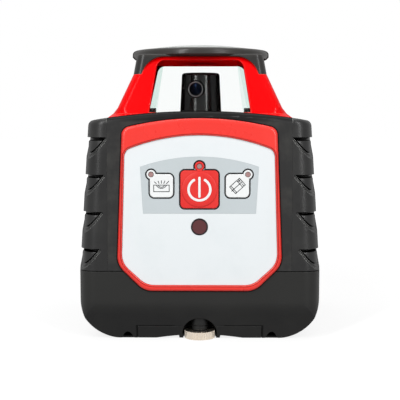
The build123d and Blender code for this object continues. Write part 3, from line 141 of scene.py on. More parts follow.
def rounded_bump(
    tree: Tree, edge_mm: float, height: Socket, depth_mm: float, samples: int
) -> tuple[Socket, Socket]:
    """Gives the normals of a surface with soft edges and fine bumps.

    Args:
        tree: The material's node tree.
        edge_mm: Radius of the edges.
        height: Height of the bumps, from zero to one.
        depth_mm: Height of the tallest.
        samples: Looks taken to find an edge: more where a painted highlight is drawn along it.

    Returns:
        The normal of the soft edges alone, and with the bumps.
    """
    edge = add_node(tree, "Bevel", {"samples": samples, "Radius": edge_mm * MM}).outputs["Normal"]
    depth = {"Strength": 1.0, "Distance": depth_mm * MM}
    bump = add_node(tree, "Bump", depth, {"Height": height, "Normal": edge})
    return edge, bump.outputs["Normal"]


@dataclass(frozen=True)
class Patches:
    """Uneven gloss, as hands and cloths leave it.

    Attributes:
        width_mm: Width of one patch.
        ragged: Detail and roughness of the patches' outlines.
        span: Noise at which a patch starts to dull, and at which it is dull.
    """

    width_mm: float
    ragged: Pair
    span: Pair = (0.35, 0.65)

    def add(self, tree: Tree, rough: Pair) -> tuple[Socket, Socket]:
        """Adds the patches to a material.

        Args:
            tree: The material's node tree.
            rough: Roughness of the polished and of the dull patches.

        Returns:
            The patches' noise and their roughness.
        """
        place = add_node(tree, "TexCoord").outputs["Object"]
        noise = {"Scale": per_metre(self.width_mm), "Detail": self.ragged[0], "Roughness": self.ragged[1]}
        patch = add_node(tree, "TexNoise", noise, {"Vector": place}).outputs["Fac"]
        gloss = add_node(tree, "MapRange", ramp(self.span, rough), {"Value": patch})
        return patch, gloss.outputs[0]


# Dull patches on bare metal, and the smears that cloths leave on glass
TARNISH = Patches(9.0, (4.0, 0.5))
SMEARS = Patches(18.0, (5.0, 0.7), (0.5, 0.8))


@dataclass(frozen=True)
class Surface:
    """A finish, named for its real material and for how its surface was made.

    Attributes:
        name: The material's name.
    """

    name: str

    def material(self) -> bpy.types.Material:
        """Builds the node material.

        Returns:
            The material.
        """
        material = bpy.data.materials.new(self.name)
        material.use_nodes = True
        tree = material.node_tree
        tree.nodes.clear()
        add_node(tree, "OutputMaterial", links={"Surface": self.shader(tree)})
        return material

    def shader(self, tree: Tree) -> Socket:
        """Adds the surface's nodes, which each kind of finish has of its own."""
        raise NotImplementedError


@dataclass(frozen=True)
class MouldedPlastic(Surface):
    """Injection-moulded plastic or rubber: the mould's grain in the bump, handling in the gloss.

    Attributes:
        colour: Main colour as sRGB hex.
        rubbed: Colour where hands and cloths have polished or greyed it.
        rough: Roughness of the polished and of the dull patches.
        grain_mm: Width of one bump of the mould's grain.
        depth_mm: Height of those bumps.
        patch_mm: Width of the dull and polished patches.
        shine: Specular level, lower where a coarse grain traps the reflections.
        edge: Colour of the painted highlight on edges, as sRGB hex.
        edge_mm: Radius that the mould leaves on every edge, which catches the light.
        edge_highlight: How far an edge takes its painted highlight.
        edge_tilt: Upward tilt at which an edge's painted highlight starts, and at which it is full.
        painted_shade: How dark the painted shade makes grooves and inner corners.
        painted_shade_mm: How far from such a corner that painted shade reaches.
        painted_top_shading: Colour of the upper part as sRGB hex, painted lighter or darker than the lower
            for how light falls.
        painted_top_shading_mm: Heights between which that painted colour sets in.
        fade: Slant at which the shine starts to fade, and at which it is gone.
        rubbed_span: Noise at which a patch starts to look rubbed, and at which it does fully.
        bent_span: How far a soft edge's normal agrees with its face, where its painted highlight is full
            and where gone.
        nook_span: Open share of the sky in the darkest nook, and where the painted shade ends.
        ragged: Detail and roughness of the patches' outlines.
    """

    colour: str
    rubbed: str
    rough: Pair
    grain_mm: float
    depth_mm: float
    patch_mm: float = 28.0
    shine: float = 0.5
    edge: str = "#ffffff"
    edge_mm: float = 0.35
    edge_highlight: float = 0.0
    edge_tilt: Pair = (-2.0, -1.0)
    painted_shade: float = 0.0
    painted_shade_mm: float = 1.6
    painted_top_shading: str = ""
    painted_top_shading_mm: Pair = (148.5, 150.5)
    fade: Pair = (0.5, 0.85)
    rubbed_span: Pair = (0.45, 0.75)
    bent_span: Pair = (0.8, 0.98)
    nook_span: Pair = (0.4, 0.85)
    ragged: Pair = (4.0, 0.6)

    def shader(self, tree: Tree) -> Socket:
        """Adds the surface's nodes.

        Args:
            tree: The material's node tree.

        Returns:
            The surface's shader.
        """
        patch, rough = Patches(self.patch_mm, self.ragged).add(tree, self.rough)
        place = add_node(tree, "TexCoord").outputs["Object"]
        pebble = {"Scale": per_metre(self.grain_mm), "Detail": 2.0}
        grain = add_node(tree, "TexNoise", pebble, {"Vector": place}).outputs["Fac"]
        edge, normal = rounded_bump(tree, self.edge_mm, grain, self.depth_mm, samples=12)
        rubbed = add_node(tree, "MapRange", ramp(self.rubbed_span), {"Value": patch})
        shades = {"data_type": "RGBA", 6: to_linear(self.colour), 7: to_linear(self.rubbed)}
        colour = add_node(tree, "Mix", shades, {0: rubbed.outputs[0]}).outputs[2]
        for shade, share in self._layers(tree, place, edge):
            over = {"data_type": "RGBA", 7: to_linear(shade)}
            colour = add_node(tree, "Mix", over, {0: share, 6: colour}).outputs[2]
        looks = {"Base Color": colour, "Roughness": rough, "Normal": normal}
        return opaque_shader(tree, looks, self.shine, self.fade)

    def _layers(self, tree: Tree, place: Socket, edge: Socket) -> list[tuple[str, Socket]]:
        """Lists what lies over the plain colour: painted light or shade by height, painted highlights
        on edges and painted shade in nooks.

        Args:
            tree: The material's node tree.
            place: Place on the object.
            edge: Normal of the soft edges.

        Returns:
            Each colour with the share that it takes.
        """
        layers = []
        # Painted light and shade: the upper part takes its own colour by height, for how light falls there
        if self.painted_top_shading:
            height = add_node(tree, "SeparateXYZ", links={0: place}).outputs["Z"]
            span = (self.painted_top_shading_mm[0] * MM, self.painted_top_shading_mm[1] * MM)
            above = add_node(tree, "MapRange", ramp(span), {"Value": height})
            layers.append((self.painted_top_shading, above.outputs[0]))
        # Painted highlight: a paler colour on soft edges, faded out on those that don't tilt up enough
        flat = add_node(tree, "NewGeometry").outputs["Normal"]
        turn = add_node(tree, "VectorMath", {"operation": "DOT_PRODUCT"}, {0: edge, 1: flat})
        bent = ramp(self.bent_span, (self.edge_highlight, 0.0))
        highlight_share = add_node(tree, "MapRange", bent, {"Value": turn.outputs["Value"]})
        upward = add_node(tree, "SeparateXYZ", links={0: edge}).outputs["Z"]
        lit = add_node(tree, "MapRange", ramp(self.edge_tilt), {"Value": upward})
        both = {0: highlight_share.outputs[0], 1: lit.outputs[0]}
        layers.append((self.edge, add_node(tree, "Math", {"operation": "MULTIPLY"}, both).outputs[0]))
        # Painted shade: darker where little of the sky is open, in grooves and inner corners
        reach = {"samples": 8, "Distance": self.painted_shade_mm * MM}
        sky = add_node(tree, "AmbientOcclusion", reach).outputs["AO"]
        nook = add_node(tree, "MapRange", ramp(self.nook_span, (self.painted_shade, 0.0)), {"Value": sky})
        layers.append(("#000000", nook.outputs[0]))
        return layers


@dataclass(frozen=True)
class TurnedMetal(Surface):
    """Metal turned on a lathe or drawn: fine rings across Z that stretch the highlights.

    Attributes:
        colour: Main colour as sRGB hex.
        tarnish: Colour of the dull patches.
        rough: Roughness of the bright and of the dull patches.
        ring_mm: Spacing of the tool marks.
        depth_mm: Depth of the tool marks.
        metallic: One for bare metal, less for a dyed oxide skin.
        shine: Specular level of that skin.
        edge_mm: Radius of the broken edges.
        fade: Slant at which the shine starts to fade, and at which it is gone.
        run_mm: Length of one tool mark.
    """

    colour: str
    tarnish: str
    rough: Pair
    ring_mm: float = 0.9
    depth_mm: float = 0.004
    metallic: float = 1.0
    shine: float = 0.5
    edge_mm: float = 0.2
    fade: Pair = (0.5, 0.85)
    run_mm: float = 40.0

    def shader(self, tree: Tree) -> Socket:
        """Adds the surface's nodes.

        Args:
            tree: The material's node tree.

        Returns:
            The surface's shader.
        """
        patch, rough = TARNISH.add(tree, self.rough)
        place = add_node(tree, "TexCoord").outputs["Object"]
        run = per_metre(self.run_mm)
        stretch = {"Scale": (run, run, per_metre(self.ring_mm))}
        marks = add_node(tree, "Mapping", stretch, {"Vector": place}).outputs["Vector"]
        rings = add_node(tree, "TexNoise", {"Scale": 1.0, "Detail": 3.0}, {"Vector": marks}).outputs["Fac"]
        normal = rounded_bump(tree, self.edge_mm, rings, self.depth_mm, samples=4)[1]
        shades = {"data_type": "RGBA", 6: to_linear(self.colour), 7: to_linear(self.tarnish)}
        colour = add_node(tree, "Mix", shades, {0: patch}).outputs[2]
        looks = {"Base Color": colour, "Roughness": rough, "Normal": normal}
        return opaque_shader(tree, looks, self.shine, self.fade, self.metallic)


@dataclass(frozen=True)
class ClearSolid(Surface):
    """Glass or tinted clear plastic, seen through and polished all over.

    Attributes:
        colour: Tint as sRGB hex.
        ior: Index of refraction.
        rough: Roughness of the polish and of the smears on it.
        clear: Share of the light that goes through.
        shine: Specular level, low on glass with a coating against reflections.
        gleam: Colour that such a coating gives its reflections, as sRGB hex.
    """

    colour: str
    ior: float = 1.5
    rough: Pair = (0.0, 0.05)
    clear: float = 1.0
    shine: float = 0.5
    gleam: str = "#ffffff"

    def shader(self, tree: Tree) -> Socket:
        """Adds the surface's nodes.

        Args:
            tree: The material's node tree.

        Returns:
            The surface's shader.
        """
        settings = {
            "Base Color": to_linear(self.colour),
            "IOR": self.ior,
            "Transmission Weight": self.clear,
            "Specular IOR Level": self.shine,
            "Specular Tint": to_linear(self.gleam),
        }
        smeared = {"Roughness": SMEARS.add(tree, self.rough)[1]}
        return add_node(tree, "BsdfPrincipled", settings, smeared).outputs["BSDF"]


@dataclass(frozen=True)
class CoatedPane(Surface):
    """Flat coated glass: light goes straight through, and a slanting view meets more of its tint.

    Attributes:
        tint: Colour through the edge or at a slant, as sRGB hex.
        glint: Share of plain glass's reflection that the coating leaves.
        rough: Roughness of the polish and of the smears on it.
        spread: How far the tint reaches from a slanting view towards a square one.
        ior: Index of refraction.
    """

    tint: str
    glint: float
    rough: Pair
    spread: float = 0.2
    ior: float = 1.5

    def shader(self, tree: Tree) -> Socket:
        """Adds the surface's nodes.

        Args:
            tree: The material's node tree.

        Returns:
            The surface's shader.
        """
        slant = add_node(tree, "LayerWeight", {"Blend": self.spread}).outputs["Facing"]
        shades = {"data_type": "RGBA", 6: WHITE, 7: to_linear(self.tint)}
        tint = add_node(tree, "Mix", shades, {0: slant}).outputs[2]
        through = add_node(tree, "BsdfTransparent", links={"Color": tint}).outputs[0]
        smeared = {"Roughness": SMEARS.add(tree, self.rough)[1]}
        mirror = add_node(tree, "BsdfGlossy", links=smeared).outputs[0]
        bounce = add_node(tree, "Fresnel", {"IOR": self.ior}).outputs[0]
        cut = {"operation": "MULTIPLY", 1: self.glint}
        share = add_node(tree, "Math", cut, {0: bounce}).outputs[0]
        return add_node(tree, "MixShader", links={0: share, 1: through, 2: mirror}).outputs[0]


class Finish(Enum):
    """The finishes on this level, each named for its real material and surface."""

    # Spark-eroded mould: a fine pebble, drawn coarser here so that it shows, and dull soft highlights;
    # painted light greys it above the foot; painted highlights on upturned edges, painted shade in nooks
    BLACK_ABS = MouldedPlastic(
        "abs_black_spark_grain", "#1b1b1b", "#222221", (0.3, 0.42), 0.9, 0.04,
        shine=0.16, edge="#60605e", edge_mm=0.5, edge_highlight=0.5, edge_tilt=(0.05, 0.4), painted_shade=0.4,
        painted_top_shading="#272726", painted_top_shading_mm=(18.0, 28.0),
    )
    # The same grain on the upper body, greyer than the base's and more so in rubbed patches;
    # painted shade darkens its top and its nooks, and painted highlights lie on upturned edges
    BODY_ABS = MouldedPlastic(
        "abs_black_spark_grain_worn", "#2b2b2b", "#383836", (0.3, 0.42), 0.9, 0.04, 10.0,
        shine=0.16, edge="#60605e", edge_mm=0.5, edge_highlight=0.5, edge_tilt=(0.05, 0.4), painted_shade=0.95,
        painted_top_shading="#101010", fade=(0.3, 0.6),
    )
    # Polished mould: the same plastic, smoother; painted light makes the rim paler than the tongues below,
    # and painted highlights lie on its edges
    CAP_BLACK = MouldedPlastic(
        "abs_black_polished", "#222120", "#292826", (0.24, 0.34), 2.2, 0.01,
        shine=0.26, edge="#70706d", edge_mm=0.5, edge_highlight=0.4,
        painted_top_shading="#32302e", painted_top_shading_mm=(193.5, 195.5),
    )
    # Soft overmould: a broad soft sheen, thin pale painted highlights on the notches' upturned edges,
    # and deep painted shade in the notches
    GRIP_TPE = MouldedPlastic(
        "tpe_black_overmould", "#161616", "#222221", (0.26, 0.38), 1.1, 0.06,
        shine=0.32, edge="#ecece8", edge_mm=0.3, edge_highlight=1.0, edge_tilt=(0.05, 0.35),
        painted_shade=0.95, painted_shade_mm=9.0,
    )
    # Plain rubber: no grain to speak of and hardly any shine; as thin films along the hatch's and the
    # bezel's gaps it is painted shade, and the screw plugs' dark faces stand in for shade too
    RUBBER_AND_GAP_SHADE = MouldedPlastic(
        "nitrile_rubber_black_and_gap_shade", "#0b0b0b", "#121212", (0.6, 0.75), 1.2, 0.04, shine=0.1
    )
    # Polished mould: clean strong red with a slight orange peel in the gloss, and pale painted highlights
    # on its upturned edges
    LANTERN_RED = MouldedPlastic(
        "abs_red_polished", "#e80004", "#ec0207", (0.14, 0.24), 2.6, 0.012,
        shine=0.09, edge="#ff7a68", edge_mm=1.6, edge_highlight=0.8, edge_tilt=(0.3, 0.42),
    )
    # Fine satin mould: lighter red with broad soft highlights along the bead, pale painted highlights on
    # its edges, and painted shade in its nooks
    BEZEL_RED = MouldedPlastic(
        "abs_red_satin", "#ee332a", "#f03a31", (0.24, 0.34), 1.6, 0.015,
        shine=0.4, edge="#ffb0a2", edge_mm=2.0, edge_highlight=0.8, painted_shade=0.8,
    )
    # Painted shade of the mould's fine groove, laid as a flat film: deeper red, since little light gets in
    GROOVE_RED = MouldedPlastic("abs_red_groove", "#b3201b", "#b8261f", (0.4, 0.5), 1.6, 0.01, shine=0.2)
    # Moulded silicone: soft sheen, slightly darker than the bezel, with painted shade in its nooks
    KEY_RED = MouldedPlastic(
        "silicone_red_moulded", "#dd2a26", "#e23630", (0.36, 0.46), 1.3, 0.01,
        shine=0.35, edge_mm=0.6, painted_shade=0.7,
    )
    # The same silicone in white: a warmer, softer white than the film round it
    KEY_WHITE = MouldedPlastic(
        "silicone_white_moulded", "#eef0f0", "#e9ebeb", (0.4, 0.5), 1.2, 0.006, shine=0.3
    )
    # Textured film: cool white with an even, broad sheen
    PANEL_WHITE = MouldedPlastic(
        "polycarbonate_film_white", "#e6ebed", "#e1e7e9", (0.36, 0.48), 1.2, 0.006, shine=0.3
    )
    # Bare moulded grey: matt with the same pebble as the shell
    CAP_GREY = MouldedPlastic(
        "abs_pale_grey_moulded", "#c6c9c7", "#bdc1be", (0.4, 0.55), 1.0, 0.02, shine=0.3
    )
    # Screen printing: flat even coats that take the film's sheen
    INK_GREY = MouldedPlastic("screen_ink_grey", "#c3cbce", "#bfc8ca", (0.4, 0.5), 1.2, 0.004, shine=0.3)
    INK_DARK = MouldedPlastic("screen_ink_dark", "#14181b", "#1c2023", (0.45, 0.55), 1.2, 0.004, shine=0.2)
    INK_WHITE = MouldedPlastic("screen_ink_white", "#f3f3f3", "#ededed", (0.4, 0.5), 1.2, 0.004, shine=0.3)
    # Inner mouldings: plain black with tool marks left in
    TRAY_BLACK = MouldedPlastic("abs_black_tray", "#1a1a1a", "#212121", (0.45, 0.6), 1.0, 0.02, shine=0.3)
    # Solder resist over woven glass: deep green, faint weave in the gloss
    BOARD_GREEN = MouldedPlastic("glass_epoxy_board", "#1d5a34", "#246a3f", (0.35, 0.5), 1.5, 0.02)
    # Shrink sleeve: tight plastic skin with a soft gloss
    CELL_SLEEVE = MouldedPlastic("shrink_sleeve_blue_grey", "#3d4a55", "#46545f", (0.25, 0.4), 3.0, 0.01)
    # Plated knurl: warm bright metal, duller in the grooves
    NICKEL = TurnedMetal("brass_nickel_plated", "#e9dfd2", "#d3c6b4", (0.25, 0.4), 0.8, 0.006)
    # Turned and machined metals: fine rings, with duller patches where oil has dried
    STEEL = TurnedMetal("steel_turned", "#b9babb", "#9d9fa1", (0.28, 0.42))
    BRASS = TurnedMetal("brass_turned", "#c9a24e", "#a8863f", (0.24, 0.4))
    ALLOY = TurnedMetal("aluminium_machined", "#c3c5c7", "#aeb0b2", (0.3, 0.45))
    # Dyed oxide skin over turned metal: deep black in which lamps draw upright streaks
    HEAD_BLACK = TurnedMetal(
        "aluminium_black_anodised", "#050505", "#070707", (0.17, 0.21), 0.9, 0.0006,
        metallic=0.0, shine=0.22, fade=(0.12, 0.42),
    )
    # The same skin where the tool cut through it: a thin grey rim round the opening
    RIM_GREY = TurnedMetal("aluminium_bare_edge", "#8e8e90", "#5c5c5e", (0.3, 0.5), 0.6, 0.006)
    # Clean glass with a coating: nothing to see face on, pale sea green at a slant
    PANE_GLASS = CoatedPane("float_glass_coated", "#d6ece6", 0.05, (0.0, 0.06))
    # Ground edge of a pane: milky, with the glass's green in it
    GROUND_GLASS = CoatedPane("float_glass_ground_edge", "#e0f0eb", 0.1, (0.2, 0.4), 0.88)
    # Many-layered coating: near black from outside with a blue sheen
    OPTIC_GLASS = ClearSolid(
        "optical_glass_multicoated", "#03050c", 1.6, (0.0, 0.02), 0.1, 0.4, "#14264a"
    )
    # Paint that swallows stray light round a lens: the deepest black on the level; as the film in the
    # groove round the beam's opening it is painted shade
    OPTIC_BLACK = MouldedPlastic(
        "optical_black_paint_and_groove_shade", "#030303", "#050505", (0.8, 0.9), 0.8, 0.005, shine=0.05
    )
    # Drawn glass with dyed spirit inside: clear yellow green
    VIAL_GLASS = ClearSolid("vial_glass_spirit", "#cfe86a", 1.47, (0.0, 0.02))
    # Diffusing acrylic: milky inside, so an unlit lamp looks brownish pink
    LAMP_RED = ClearSolid("acrylic_red_lens", "#b8908e", 1.49, (0.2, 0.35), 0.2, 0.3)
    # Acrylic that lets little but infrared through: dark brownish red with a soft gloss
    RECEIVER_RED = ClearSolid("acrylic_dark_red_filter", "#5c2a2d", 1.49, (0.12, 0.22), 0.1, 0.3)


@dataclass
class Workshop:
    """What every sub-assembly needs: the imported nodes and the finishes.

    Attributes:
        nodes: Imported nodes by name.
        made: Materials built so far.
    """

    nodes: dict[str, bpy.types.Object]
    made: dict[Finish, bpy.types.Material] = field(default_factory=dict)

    def paint(self, obj: bpy.types.Object, finish: Finish) -> None:
        """Gives an object one finish all over, and builds its material at first use.

        Args:
            obj: The object.
            finish: Its finish.
        """
        if finish not in self.made:
            self.made[finish] = finish.value.material()
        obj.data.materials.clear()
        obj.data.materials.append(self.made[finish])
        LOG.info("dressed %s as %s", obj.name, finish.name)

    def dress(self, coats: dict[Finish, Iterable[str]]) -> None:
        """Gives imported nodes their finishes.

        Args:
            coats: Names of the nodes that take each finish.
        """
        for finish, names in coats.items():
            for name in names:
                self.paint(self.nodes[name], finish)

    def keep(self, mesh: Mesh, body: str, slot: str, finish: Finish) -> None:
        """Turns a mesh into a finished piece that rides on a body.

        Args:
            mesh: The piece's mesh, in the frame's own coordinates.
            body: The body it moves with.
            slot: The record's material slot that it belongs to; not used.
            finish: Its finish.
        """
        piece = bpy.data.objects.new(mesh.name, mesh)
        bpy.context.scene.collection.objects.link(piece)
        self.paint(piece, finish)
        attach(piece, body)


@dataclass
class SubAssembly:
    """A part of the level that is dressed and built on its own.

    Attributes:
        shop: Nodes and finishes.
    """

    shop: Workshop

    def dress(self) -> None:
        """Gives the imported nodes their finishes, where the sub-assembly has any."""

    def build(self) -> None:
        """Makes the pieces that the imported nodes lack, where there are any."""


def arc(centre: Pair, radius: float, start_deg: float, end_deg: float, steps: int) -> list[Pair]:
    """Gives points along an arc.

    Args:
        centre: The arc's centre.
        radius: Its radius.
        start_deg: Where it starts, anticlockwise from the first axis.
        end_deg: Where it ends.
        steps: Number of chords.

    Returns:
        The points, both ends among them.
    """
    angles = [math.radians(start_deg + (end_deg - start_deg) * i / steps) for i in range(steps + 1)]
    return [(centre[0] + radius * math.cos(t), centre[1] + radius * math.sin(t)) for t in angles]


def circle(centre: Pair, radius: float, steps: int) -> list[Pair]:
    """Gives points round a circle."""
    return arc(centre, radius, 0, 360, steps)[:-1]


def stroke(points: Sequence[Pair], width: float) -> list[Pair]:
    """Outlines a pen stroke with round ends.

    Args:
        points: The stroke's middle line.
        width: The pen's width.

    Returns:
        The closed outline.
    """
    half = width / 2
    left: list[Pair] = []
    right: list[Pair] = []
    turns: list[float] = []
    for i, (x, y) in enumerate(points):
        before, after = points[max(i - 1, 0)], points[min(i + 1, len(points) - 1)]
        along = Vector((after[0] - before[0], after[1] - before[1])).normalized()
        left.append((x - along.y * half, y + along.x * half))
        right.append((x + along.y * half, y - along.x * half))
        turns.append(math.degrees(math.atan2(along.y, along.x)))
    end = arc(points[-1], half, turns[-1] + 90, turns[-1] - 90, steps=10)[1:-1]
    start = arc(points[0], half, turns[0] - 90, turns[0] - 270, steps=10)[1:-1]
    return [*left, *end, *reversed(right), *start]


def world_corners(node: bpy.types.Object) -> list[Vector]:
    """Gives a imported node's corners in the frame."""
    return [node.matrix_world @ vertex.co for vertex in node.data.vertices]


def front_edge(node: bpy.types.Object, back: float) -> list[Vector]:
    """Gives the outer edge, in X and Z, of what a node has in front of a plane.

    Args:
        node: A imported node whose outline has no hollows.
        back: Y of the plane.

    Returns:
        The outline's corners in order.
    """
    flat = [Vector((corner.x, corner.z)) for corner in world_corners(node) if corner.y < back]
    return [flat[i] for i in convex_hull_2d(flat)]


def grown(loop: Sequence[Vector], distance: float) -> list[Pair]:
    """Moves an outline outward.

    Args:
        loop: The outline's corners, anticlockwise.
        distance: How far each side moves.

    Returns:
        The new corners.
    """
    moved: list[Pair] = []
    for i, here in enumerate(loop):
        before = (here - loop[i - 1]).normalized()
        after = (loop[(i + 1) % len(loop)] - here).normalized()
        out = Vector((before.y + after.y, -before.x - after.x))
        place = here + out * distance / (1 + before.dot(after))
        moved.append((place.x, place.y))
    return moved


def film(name: str, loops: Iterable[Sequence[Pair]], front: float, thickness: float) -> Mesh:
    """Makes a thin flat film that faces -Y, filled between its outlines.

    Args:
        name: The mesh's name.
        loops: Closed outlines in X and Z; one inside another is a hole.
        front: Y of the film's front.
        thickness: The film's thickness.

    Returns:
        The mesh.
    """
    curve = bpy.data.curves.new(name, "CURVE")
    curve.dimensions = "2D"
    curve.fill_mode = "BOTH"
    curve.extrude = thickness / 2
    for loop in loops:
        spline = curve.splines.new("POLY")
        spline.points.add(len(loop) - 1)
        for point, (x, z) in zip(spline.points, loop):
            point.co = (x, z, 0, 1)
        spline.use_cyclic_u = True
    holder = bpy.data.objects.new(name, curve)
    bpy.context.scene.collection.objects.link(holder)
    ready = holder.evaluated_get(bpy.context.evaluated_depsgraph_get())
    mesh = bpy.data.meshes.new_from_object(ready)
    bpy.data.objects.remove(holder)
    bpy.data.curves.remove(curve)
    stand = Matrix.Translation((0, front + thickness / 2, 0)) @ Matrix.Rotation(math.pi / 2, 4, "X")
    mesh.transform(stand)
    mesh.name = name
    return mesh


def skinned(name: str, solids: Iterable[Sequence[Sequence[Place]]], looped: bool = False) -> Mesh:
    """Skins solids that are given as rings of points.

    Args:
        name: The mesh's name.
        solids: The rings of each solid in order, all with as many points.
        looped: True where the last ring joins the first, False where a face closes each end.

    Returns:
        The mesh.
    """
    corners: list[Place] = []
    faces: list[tuple[int, ...]] = []
    for rings in solids:
        base, count = len(corners), len(rings[0])
        corners += [corner for ring in rings for corner in ring]
        for i in range(len(rings) if looped else len(rings) - 1):
            here, there = base + i * count, base + (i + 1) % len(rings) * count
            for j in range(count):
                k = (j + 1) % count
                faces.append((here + j, there + j, there + k, here + k))
        if not looped:
            faces.append(tuple(range(base, base + count)))
            faces.append(tuple(reversed(range(len(corners) - count, len(corners)))))
    mesh = bpy.data.meshes.new(name)
    mesh.from_pydata(corners, [], faces)
    return mesh


def face_outward(mesh: Mesh) -> None:
    """Turns every face of a closed mesh to look outward.

    Args:
        mesh: The mesh.
    """
    work = bmesh.new()
    work.from_mesh(mesh)
    bmesh.ops.recalc_face_normals(work, faces=work.faces)
    work.to_mesh(mesh)
    work.free()


def lathe(name: str, profile: Sequence[Pair], place: Matrix, steps: int = 72) -> Mesh:
    """Turns a closed outline about an axis.

    Args:
        name: The mesh's name.
        profile: Outline as radius and height along the axis.
        place: Puts the axis, drawn along Z, where it belongs.
        steps: Number of facets round the axis.

    Returns:
        The mesh.
    """
    rings = [[(r * x, r * y, h) for r, h in profile] for x, y in circle((0, 0), 1, steps)]
    mesh = skinned(name, [rings], looped=True)
    mesh.transform(place)
    mesh.shade_smooth()
    return mesh


def what_is_seen(tree: Tree) -> Socket:
    """Tells what is seen, straight, in a reflection or through glass, from what only gives light.

    Args:
        tree: The node tree of the floor or the world.

    Returns:
        A socket with one for what is seen, and zero for the rest.
    """
    path = add_node(tree, "LightPath").outputs
    seen = path["Is Camera Ray"]
    for ray in ("Is Glossy Ray", "Is Transmission Ray"):
        seen = add_node(tree, "Math", {"operation": "MAXIMUM"}, {0: seen, 1: path[ray]}).outputs[0]
    return seen


@dataclass(frozen=True)
class StudioPaper(Surface):
    """White paper under the object: it keeps a faint shadow and is clear from below.

    Attributes:
        grey: Its grey as the light sees it.
        glow: White that it adds for the eye alone, near the object and far from it.
        reach: Distances between which that white rises.
    """

    grey: float = 0.25
    glow: Pair = (0.82, 1.0)
    reach: Pair = (0.3, 0.9)

    def shader(self, tree: Tree) -> Socket:
        """Adds the surface's nodes.

        Args:
            tree: The material's node tree.

        Returns:
            The surface's shader.
        """
        paper = add_node(tree, "BsdfDiffuse", {"Color": (self.grey, self.grey, self.grey, 1)}).outputs[0]
        place = add_node(tree, "TexCoord").outputs["Object"]
        away = add_node(tree, "VectorMath", {"operation": "LENGTH"}, {0: place}).outputs["Value"]
        rise = add_node(tree, "MapRange", ramp(self.reach, self.glow), {"Value": away}).outputs[0]
        seen = {0: what_is_seen(tree), 1: rise}
        level = add_node(tree, "Math", {"operation": "MULTIPLY"}, seen).outputs[0]
        light = add_node(tree, "Emission", {"Color": WHITE}, {"Strength": level}).outputs[0]
        above = add_node(tree, "AddShader", links={0: paper, 1: light}).outputs[0]
        below = add_node(tree, "BsdfTransparent").outputs[0]
        side = add_node(tree, "NewGeometry").outputs["Backfacing"]
        return add_node(tree, "MixShader", links={0: side, 1: above, 2: below}).outputs[0]


@dataclass
class Studio:
    """Pale floor, plain soft light and the camera.

    Attributes:
        camera_place: Where the camera stands.
        tilt_down_deg: How far it looks down.
        pan_left_deg: How far it looks to the left.
        lens_mm: Its lens.
        sensor_mm: Width of its sensor.
        near_clip: Distance at which its view starts.
        floor_size: Side of the square floor.
        floor_z: Height of the floor, a hair under the resting rails.
        paper: The floor's surface.
        fill: Strength of the white surroundings as a light.
        aim: What the lamps face.
        lamps: Name, place, width and height, and watts of each soft lamp.
    """

    camera_place: Place = (0.0078, -0.7125, 0.1515)
    tilt_down_deg: float = 4.93
    pan_left_deg: float = 0.67
    lens_mm: float = 85.5
    sensor_mm: float = 36.0
    near_clip: float = 0.01
    floor_size: float = 12.0
    floor_z: float = -0.05 * MM
    paper: StudioPaper = StudioPaper("floor_white_paper")
    fill: float = 0.28
    aim: Place = (0.0, 0.0, 0.1)
    lamps: tuple[tuple[str, Place, Pair, float], ...] = (
        ("key_lamp", (-0.64, -1.07, 0.78), (0.13, 1.3), 12.5),
        ("side_lamp", (0.72, -1.08, 0.64), (0.12, 1.2), 10.2),
        ("top_lamp", (0.0, 0.2, 1.1), (0.9, 0.7), 3.5),
    )

    def build(self) -> None:
        """Makes the world, the floor, the lamps and the camera."""
        self._world()
        self._floor()
        for name, place, size, watts in self.lamps:
            self._lamp(name, place, size, watts)
        self._camera()
        bpy.context.scene.view_settings.view_transform = "Standard"

    def _world(self) -> None:
        """Makes the surroundings: white to the eye, softer as a light."""
        world = bpy.data.worlds.new("white_studio")
        bpy.context.scene.world = world
        world.use_nodes = True
        tree = world.node_tree
        tree.nodes.clear()
        level = ramp((0.0, 1.0), (self.fill, 1.0))
        strength = add_node(tree, "MapRange", level, {"Value": what_is_seen(tree)}).outputs[0]
        sky = add_node(tree, "Background", {"Color": WHITE}, {"Strength": strength})
        add_node(tree, "OutputWorld", links={"Surface": sky.outputs[0]})

    def _floor(self) -> None:
        """Lays the floor."""
        mesh = bpy.data.meshes.new("floor")
        half, z = self.floor_size / 2, self.floor_z
        corners = [(-half, -half, z), (half, -half, z), (half, half, z), (-half, half, z)]
        mesh.from_pydata(corners, [], [(0, 1, 2, 3)])
        floor = bpy.data.objects.new("floor", mesh)
        bpy.context.scene.collection.objects.link(floor)
        mesh.materials.append(self.paper.material())

    def _lamp(self, name: str, place: Place, size: Pair, watts: float) -> None:
        """Adds one soft lamp box that faces the object.

        Args:
            name: The lamp's name.
            place: Where it stands.
            size: Its width and height.
            watts: Its power.
        """
        lamp = bpy.data.lights.new(name, "AREA")
        lamp.shape = "RECTANGLE"
        lamp.size, lamp.size_y = size
        lamp.energy = watts
        holder = bpy.data.objects.new(name, lamp)
        bpy.context.scene.collection.objects.link(holder)
        holder.location = place
        ahead = Vector(self.aim) - Vector(place)
        holder.rotation_euler = ahead.to_track_quat("-Z", "Y").to_euler()

    def _camera(self) -> None:
        """Places the camera as the photograph's was."""
        data = bpy.data.cameras.new("camera")
        data.lens = self.lens_mm
        data.sensor_width = self.sensor_mm
        data.clip_start = self.near_clip
        camera = bpy.data.objects.new("camera", data)
        bpy.context.scene.collection.objects.link(camera)
        camera.location = self.camera_place
        turns = (90 - self.tilt_down_deg, 0, self.pan_left_deg)
        camera.rotation_euler = [math.radians(turn) for turn in turns]
        bpy.context.scene.camera = camera


